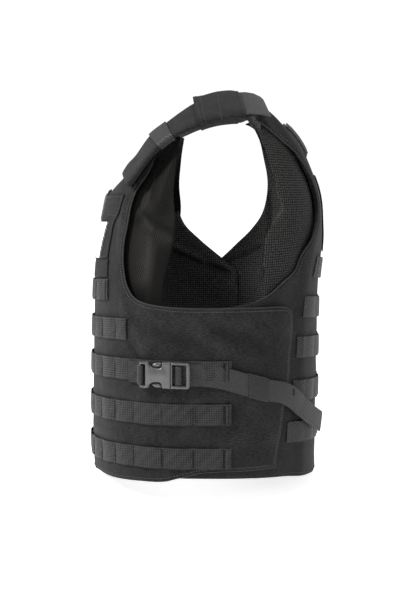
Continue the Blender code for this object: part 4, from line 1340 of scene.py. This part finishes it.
def make_zip():
    for side, mirror in SIDES:
        near, far = TAPE_EDGES
        heights = np.arange(*TAPE_HEIGHTS, 4 * MM)
        middle = (near + far) / 2
        centre = np.stack([np.full(len(heights), middle), heights], axis=1)
        tape = band(f"zip_{side}_cloth", centre, far - near, GAP, 1.0 * MM, TAPE, mirror)
        dress(tape, "webbing", f"zip_{side}_tape")
    places, faces = [], []
    for k, height in enumerate(np.arange(*TEETH_HEIGHTS, TOOTH_PITCH)):
        offset = TOOTH_SHIFT * (1 if k % 2 else -1)
        base = len(places)
        for a in (offset - TOOTH_HALF_WIDTH, offset + TOOTH_HALF_WIDTH):
            for h in (height, height + TOOTH_TALL):
                for d in TOOTH_DEPTHS:
                    places.append(body(np.array([a]), np.array([h]), np.array([d]))[0])
        for quad in BOX_FACES:
            faces.append(tuple(base + i for i in quad))
    chain = make_object("zip_teeth", places, faces, STEEL, None, 1, smooth=False)
    dress(chain, "zip", "zip_chain")
    for side, mirror in SIDES:
        tail = cloth_piece(
            f"{side}_zip_tail", ZIP_TAIL, flat(2.6 * MM), flat(1.0 * MM),
            TAPE, mirror, spacing=1.4 * MM, roll=0.2 * MM, corner=10,
        )
        dress(tail, "zip")
    puller = cloth_piece(
        "zip_puller", ZIP_PULLER, rounded_to(5.2 * MM, 1.2 * MM), flat(1.6 * MM),
        STEEL, spacing=1.2 * MM, roll=0.2 * MM,
    )
    dress(puller, "zip", "zip_slider")


# Shoulders

def strap_section(index, spare, profile):
    stations = STRAP_STATIONS + STRAP_TAIL
    inner, outer = (np.array(p) for p in stations[index])
    middles = [(np.array(a) + np.array(b)) / 2 for a, b in stations]
    ahead = middles[min(index + 1, len(middles) - 1)] - middles[max(index - 1, 0)]
    ahead /= np.linalg.norm(ahead)
    side = (outer - inner) / np.linalg.norm(outer - inner)
    up = np.cross(side, ahead)
    up /= np.linalg.norm(up)
    reach = np.linalg.norm(outer - inner) / 2 + spare
    bottom, tall = -STRAP_THICK - spare, STRAP_THICK + 2 * spare
    return np.array([middles[index] + side * reach * a + up * (bottom + tall * s) for a, s in profile])


def rounded_profile(count=40, power=6.0):
    points = []
    for k in range(count):
        angle = 2 * math.pi * k / count
        x = math.copysign(abs(math.cos(angle)) ** (2 / power), math.cos(angle))
        y = math.copysign(abs(math.sin(angle)) ** (2 / 3.0), math.sin(angle))
        points.append((x, 0.5 + 0.5 * y))
    return points


def strap_rings(places, spare, profile):
    """Smooth sections of the shoulder strap at places between its stations."""
    total = len(STRAP_STATIONS + STRAP_TAIL)
    sections = np.array([strap_section(k, 0, profile) for k in range(total)])
    grown = np.array([strap_section(k, 1 * MM, profile) for k in range(total)])
    rings = []
    for place in places:
        i = min(int(place), len(sections) - 2)
        t = place - i
        before, after = sections[max(i - 1, 0)], sections[min(i + 2, len(sections) - 1)]
        m1 = (sections[i + 1] - before) / (2 if i > 0 else 1)
        m2 = (after - sections[i]) / (2 if i < len(sections) - 2 else 1)
        ring = smooth_between(sections[i], sections[i + 1], m1, m2, t)
        out = (grown[i] - sections[i]) * (1 - t) + (grown[i + 1] - sections[i + 1]) * t
        rings.append(ring + out / (1 * MM) * spare)
    return np.array(rings)


def skin_rings(name, rings, material, mirror, closed=True):
    """A solid through rings. With closed False each ring holds an outer and then an inner loop."""
    total, size = rings.shape[:2]
    count = size if closed else size // 2
    if closed:
        faces = ring_faces(total, size)
    else:
        faces = []
        last = (total - 1) * size
        steps = [(i, (i + 1) % count) for i in range(count)]
        for a in range(0, last, size):
            b = a + size
            for i, j in steps:
                faces.append((a + i, a + j, b + j, b + i))
                faces.append((a + count + j, a + count + i, b + count + i, b + count + j))
        for i, j in steps:
            faces.append((j, i, count + i, count + j))
            faces.append((last + i, last + j, last + count + j, last + count + i))
    run = run_along(rings.mean(axis=1))
    around = run_along(rings[0, :count])
    around = np.concatenate([around, around])[:size]
    uvs = np.stack([np.repeat(run, size), np.tile(around, total)], axis=1)
    return make_object(name, rings.reshape(-1, 3), faces, material, uvs, mirror)


def make_shoulders():
    profile = rounded_profile()
    last = len(STRAP_STATIONS + STRAP_TAIL) - 1
    for side, mirror in SIDES:
        places = np.linspace(0, last, 70)
        rings = strap_rings(places, 0, profile)
        centre = rings.mean(axis=1, keepdims=True)
        ends = np.clip(np.minimum(places, last - places) / 0.12, 0, 1)[:, None, None]
        rings = centre + (rings - centre) * (0.94 + 0.06 * np.sqrt(ends))
        strap = skin_rings(f"{side}_strap_pad", rings, SHELL, mirror)
        dress(strap, "shell_fabric", f"{side}_shoulder_strap")
        for label, span, thick, look, slot in (
            ("sleeve", SLEEVE_SPAN, SLEEVE_THICK, SHELL, "shell_fabric"),
            ("keeper", KEEPER_SPAN, KEEPER_THICK, STRAP_WEB, "webbing"),
        ):
            places = np.linspace(*span, 16)
            proud = 1 + 0 * places
            if label == "sleeve":
                proud = proud + 0.9 * np.exp(-(((places - span[0]) / 0.35) ** 2))
                proud = proud - 0.35 * np.exp(-(((places - span[1]) / 0.35) ** 2))
            outside = np.concatenate([
                strap_rings([p], 1 * MM + thick * more, profile) for p, more in zip(places, proud)
            ])
            within = strap_rings(places, 0.6 * MM, profile)
            if label == "sleeve":
                away = outside - within
                below = smooth_step(-away[..., 2:] / (0.8 * thick))
                outside = within + away * (1 - 0.8 * below)
            rings = np.concatenate([outside, within], axis=1)
            wrap = skin_rings(f"{side}_strap_{label}_cloth", rings, look, mirror, closed=False)
            node = f"{side}_strap_sleeve" if label == "sleeve" else f"{side}_shoulder_keeper"
            dress(wrap, slot, node)
            if label == "sleeve":
                for end, rows in (("front", slice(0, 2)), ("back", slice(14, 16))):
                    rim = within[rows] + (outside[rows] - within[rows]) * (1.08 if end == "front" else 1.25)
                    rings = np.concatenate([rim, outside[rows]], axis=1)
                    hem = skin_rings(f"{side}_sleeve_{end}_hem", rings, SHELL, mirror, closed=False)
                    dress(hem, slot)
                lines = []
                for row in (1, 2, 7):
                    out = away[row] / np.linalg.norm(away[row], axis=1, keepdims=True)
                    loop = outside[row] + out * 0.3 * MM
                    lines.append(loop[: len(loop) // 2 + 4])
                dress(stitches(f"{side}_sleeve_stitching", lines, THREAD, mirror), slot)
        up = np.array([0.35, 0.25, 0.9])
        up = up / np.linalg.norm(up) * 2.0 * MM
        rings = []
        for inner, outer in STRAP_TAB:
            line = np.linspace(inner, outer, 8)
            rings.append(np.concatenate([line, line[::-1] + up]))
        tab = skin_rings(f"{side}_satin_tab", np.array(rings), SATIN, mirror)
        dress(tab, "webbing", f"{side}_strap_tab")


# Side straps and buckles

def strap_line(around):
    table = np.array(SIDE_STRAP)
    height = np.interp(around, table[:, 0], table[:, 1])
    depth = np.interp(around, table[:, 0], table[:, 2]) * MM
    return height, depth


# The buckle in its own frame, in millimetres: along the strap, up, and out from the flap
BUCKLE_CENTRE = (0.2424, -0.3188)
BUCKLE_DEPTH = 2.2 * MM
BUCKLE_BODY = [
    (-31.8, 14.9), (-26.0, 15.5), (-21.8, 15.3), (-20.6, 12.6), (-18.6, 10.2), (-15.5, 8.6), (-8.0, 8.3),
    (-5.6, 10.2), (-4.4, 15.2), (5.2, 15.5), (5.2, -15.5), (-4.4, -15.2), (-5.6, -10.2), (-8.0, -8.3),
    (-15.5, -8.6), (-18.6, -10.2), (-20.6, -12.6), (-21.8, -15.3), (-26.0, -15.5), (-31.8, -14.9),
]
BUCKLE_SLIT = [(-30.6, -12.4), (-24.9, -12.4), (-24.9, 12.4), (-30.6, 12.4)]
BUCKLE_PRONG = [
    (-17.4, 10.3), (-15.6, 13.2), (-12.0, 14.5), (-8.0, 14.6),
    (-5.7, 14.0), (-6.6, 10.9), (-8.6, 9.7), (-14.0, 9.7),
]
TAB_FOLD = [(-35.0, -12.2), (-27.3, -12.2), (-27.3, 12.2), (-35.0, 12.2)]
BUCKLE_FRAME = [
    (5.5, 15.2), (24.0, 14.9), (26.7, 13.9), (27.6, 11.0),
    (27.6, -11.4), (26.7, -14.2), (24.0, -15.3), (5.5, -15.5),
]
FRAME_OPENING = [(6.9, -12.3), (23.7, -12.3), (23.7, 12.3), (6.9, 12.3)]
STRAP_FOLD = [(10.3, -12.0), (18.7, -12.0), (18.7, 12.0), (10.3, 12.0)]


def on_buckle(along, up, out):
    """From the buckle's own frame, in metres, to places beside the flap."""
    around, height = BUCKLE_CENTRE
    centre = body(around, height, BUCKLE_DEPTH)
    ahead = body(around + 0.02, height, 0) - body(around - 0.02, height, 0)
    ahead /= np.linalg.norm(ahead)
    high = np.array([0.0, 0.0, 1.0])
    outward = np.cross(ahead, high)
    along, up, out = (np.asarray(v, float)[..., None] for v in (along, up, out))
    return centre + along * ahead + up * high + out * outward


def in_metres(outline):
    return [(a * MM, b * MM) for a, b in outline]


def make_buckle(side, mirror):
    top = rounded_to(8.2 * MM, 1.5 * MM)

    def crowned(along, up, edge):
        waist = np.exp(-((up / (7 * MM)) ** 2)) * smooth_step((along + 26 * MM) / (8 * MM))
        return top(along, up, edge) + 0.9 * MM * waist * smooth_step((4 * MM - along) / (6 * MM))

    pieces = [
        (
            "buckle_shell", BUCKLE_BODY, crowned, flat(1.0 * MM),
            PLASTIC, "buckle_body", (in_metres(BUCKLE_SLIT),),
        ),
        (
            "tab_fold", TAB_FOLD, rounded_to(7.4 * MM, 3.4 * MM), flat(1.2 * MM),
            STRAP_WEB, None, (),
        ),
        (
            "buckle_frame", BUCKLE_FRAME, rounded_to(7.2 * MM, 1.7 * MM), flat(2.4 * MM),
            PLASTIC, "buckle_plug", (in_metres(FRAME_OPENING),),
        ),
        (
            "buckle_fold", STRAP_FOLD, rounded_to(6.8 * MM, 3.4 * MM), flat(2.4 * MM),
            STRAP_WEB, None, (),
        ),
    ]
    for way, label in ((1, "upper"), (-1, "lower")):
        outline = [(a, way * b) for a, b in BUCKLE_PRONG]
        pieces.append((
            f"{label}_prong", outline, rounded_to(6.4 * MM, 1.4 * MM), flat(2.8 * MM),
            PLASTIC, None, (),
        ))
    for label, outline, outer, inner, look, node, holes in pieces:
        piece = cloth_piece(
            f"{side}_{label}", in_metres(outline), outer, inner, look, mirror,
            spacing=1.1 * MM, roll=0.3 * MM, corner=55, holes=holes, where=on_buckle,
        )
        nodes = [f"{side}_{node}"] if node else []
        dress(piece, "webbing" if look is STRAP_WEB else "buckle_plastic", *nodes)


def make_side_straps():
    for side, mirror in SIDES:
        line = smooth_outline([row[:2] for row in SIDE_STRAP], OUTLINE_STEP, closed=False)
        depth = strap_line(line[:, 0])[1]
        strap = band(f"{side}_strap_webbing", line, WEB_WIDTH, depth, WEB_THICK, STRAP_WEB, mirror)
        dress(strap, "webbing", f"{side}_side_strap")
        around = np.linspace(*STRAP_KEEPER_SPAN, 8)
        middle = strap_line(around)[0]
        rings = []
        for a, m in zip(around, middle):
            section = []
            for reach, low, high in ((14.3, 1.0, 5.0), (13.2, 1.9, 4.2)):
                corner = 1.0
                for h, d in (
                    (reach - corner, low), (reach, low + corner),
                    (reach, high - corner), (reach - corner, high),
                    (corner - reach, high), (-reach, high - corner),
                    (-reach, low + corner), (corner - reach, low),
                ):
                    section.append(body(a, m + h * MM, d * MM))
            rings.append(section)
        keeper = skin_rings(f"{side}_keeper_webbing", np.array(rings), BINDING, mirror, closed=False)
        dress(keeper, "webbing", f"{side}_strap_keeper")
        height, depth = strap_line(np.array([STRAP_TACK]))
        level = depth[0] + WEB_THICK + 0.3 * MM
        along = height[0] + np.linspace(3, 12, 5) * MM
        bar = [body(STRAP_TACK + k * MM, along, level) for k in (0, 0.8, 1.6)]
        dress(stitches(f"{side}_strap_tack", bar, PILE, mirror, 2 * MM, 2.1 * MM, 0.6 * MM), "webbing")
        under = 2 * GAP + WEB_THICK
        tab = cloth_piece(
            f"{side}_tab_webbing", BUCKLE_TAB,
            lambda a, h, e: under + TAB_THICK + front_relief(a, h) * 0.5,
            lambda a, h, e: under + front_relief(a, h) * 0.5,
            WEBBING, mirror, spacing=3 * MM, roll=0.5 * MM,
        )
        dress(tab, "webbing", f"{side}_buckle_tab")
        make_buckle(side, mirror)


# Camera, floor and light

CAMERA_PLACE = (1.6, 0.0, -0.053)
CAMERA_PITCH = 7.533
CAMERA_SENSOR = 36
CAMERA_LENS = 72.06
WHITE = (1, 1, 1, 1)
BACKDROP_LIGHT = 1.05
LAMP_AIM = (0, 0, -0.25)
STUDIO_LIGHT = 0.42
FLOOR_HALF = 6.0
FLOOR_LEVEL = -0.4765
FLOOR_GLOW = 0.75
# Lamps: place, size, power in watts
LAMPS = [
    ("key", (0.9, -1.6, 1.2), 0.5, 75),
    ("fill", (1.5, 1.7, 0.4), 1.0, 12),
    ("top", (0.4, 0.3, 1.9), 0.9, 24),
]


def make_stage():
    camera = bpy.data.objects.new("camera", bpy.data.cameras.new("camera"))
    bpy.context.scene.collection.objects.link(camera)
    camera.location = CAMERA_PLACE
    pitch = math.radians(CAMERA_PITCH)
    ahead = Vector((-math.cos(pitch), 0, -math.sin(pitch)))
    camera.rotation_euler = ahead.to_track_quat("-Z", "Y").to_euler()
    camera.data.sensor_width = CAMERA_SENSOR
    camera.data.lens = CAMERA_LENS
    bpy.context.scene.camera = camera
    world = bpy.data.worlds.new("studio")
    world.use_nodes = True
    tree = world.node_tree
    soft = tree.nodes["Background"]
    soft.inputs["Color"].default_value = WHITE
    soft.inputs["Strength"].default_value = STUDIO_LIGHT
    backdrop = tree.nodes.new("ShaderNodeBackground")
    backdrop.inputs["Color"].default_value = WHITE
    backdrop.inputs["Strength"].default_value = BACKDROP_LIGHT
    rays = tree.nodes.new("ShaderNodeLightPath")
    mix = tree.nodes.new("ShaderNodeMixShader")
    tree.links.new(rays.outputs["Is Camera Ray"], mix.inputs[0])
    tree.links.new(soft.outputs[0], mix.inputs[1])
    tree.links.new(backdrop.outputs[0], mix.inputs[2])
    tree.links.new(mix.outputs[0], tree.nodes["World Output"].inputs["Surface"])
    bpy.context.scene.world = world
    bpy.context.scene.view_settings.view_transform = "Standard"
    mesh = bpy.data.meshes.new("floor")
    corners = [
        (x * FLOOR_HALF, y * FLOOR_HALF, FLOOR_LEVEL) for x, y in ((-1, -1), (1, -1), (1, 1), (-1, 1))
    ]
    mesh.from_pydata(corners, [], [(0, 1, 2, 3)])
    floor = bpy.data.objects.new("floor", mesh)
    bpy.context.scene.collection.objects.link(floor)
    pale = new_material("pale_floor", (0.9, 0.9, 0.9), 1.0, specular=0.0)
    shader = pale.node_tree.nodes["Principled BSDF"]
    shader.inputs["Emission Color"].default_value = WHITE
    shader.inputs["Emission Strength"].default_value = FLOOR_GLOW
    mesh.materials.append(pale)
    for name, place, size, power in LAMPS:
        light = bpy.data.lights.new(name, "AREA")
        light.energy = power
        light.size = size
        lamp = bpy.data.objects.new(name, light)
        lamp.location = place
        aim = Vector(LAMP_AIM) - Vector(place)
        lamp.rotation_euler = aim.to_track_quat("-Z", "Y").to_euler()
        bpy.context.scene.collection.objects.link(lamp)


make_stage()
make_front()
make_front_rows()
make_chest()
make_back()
make_linings()
make_zip()
make_shoulders()
make_side_straps()
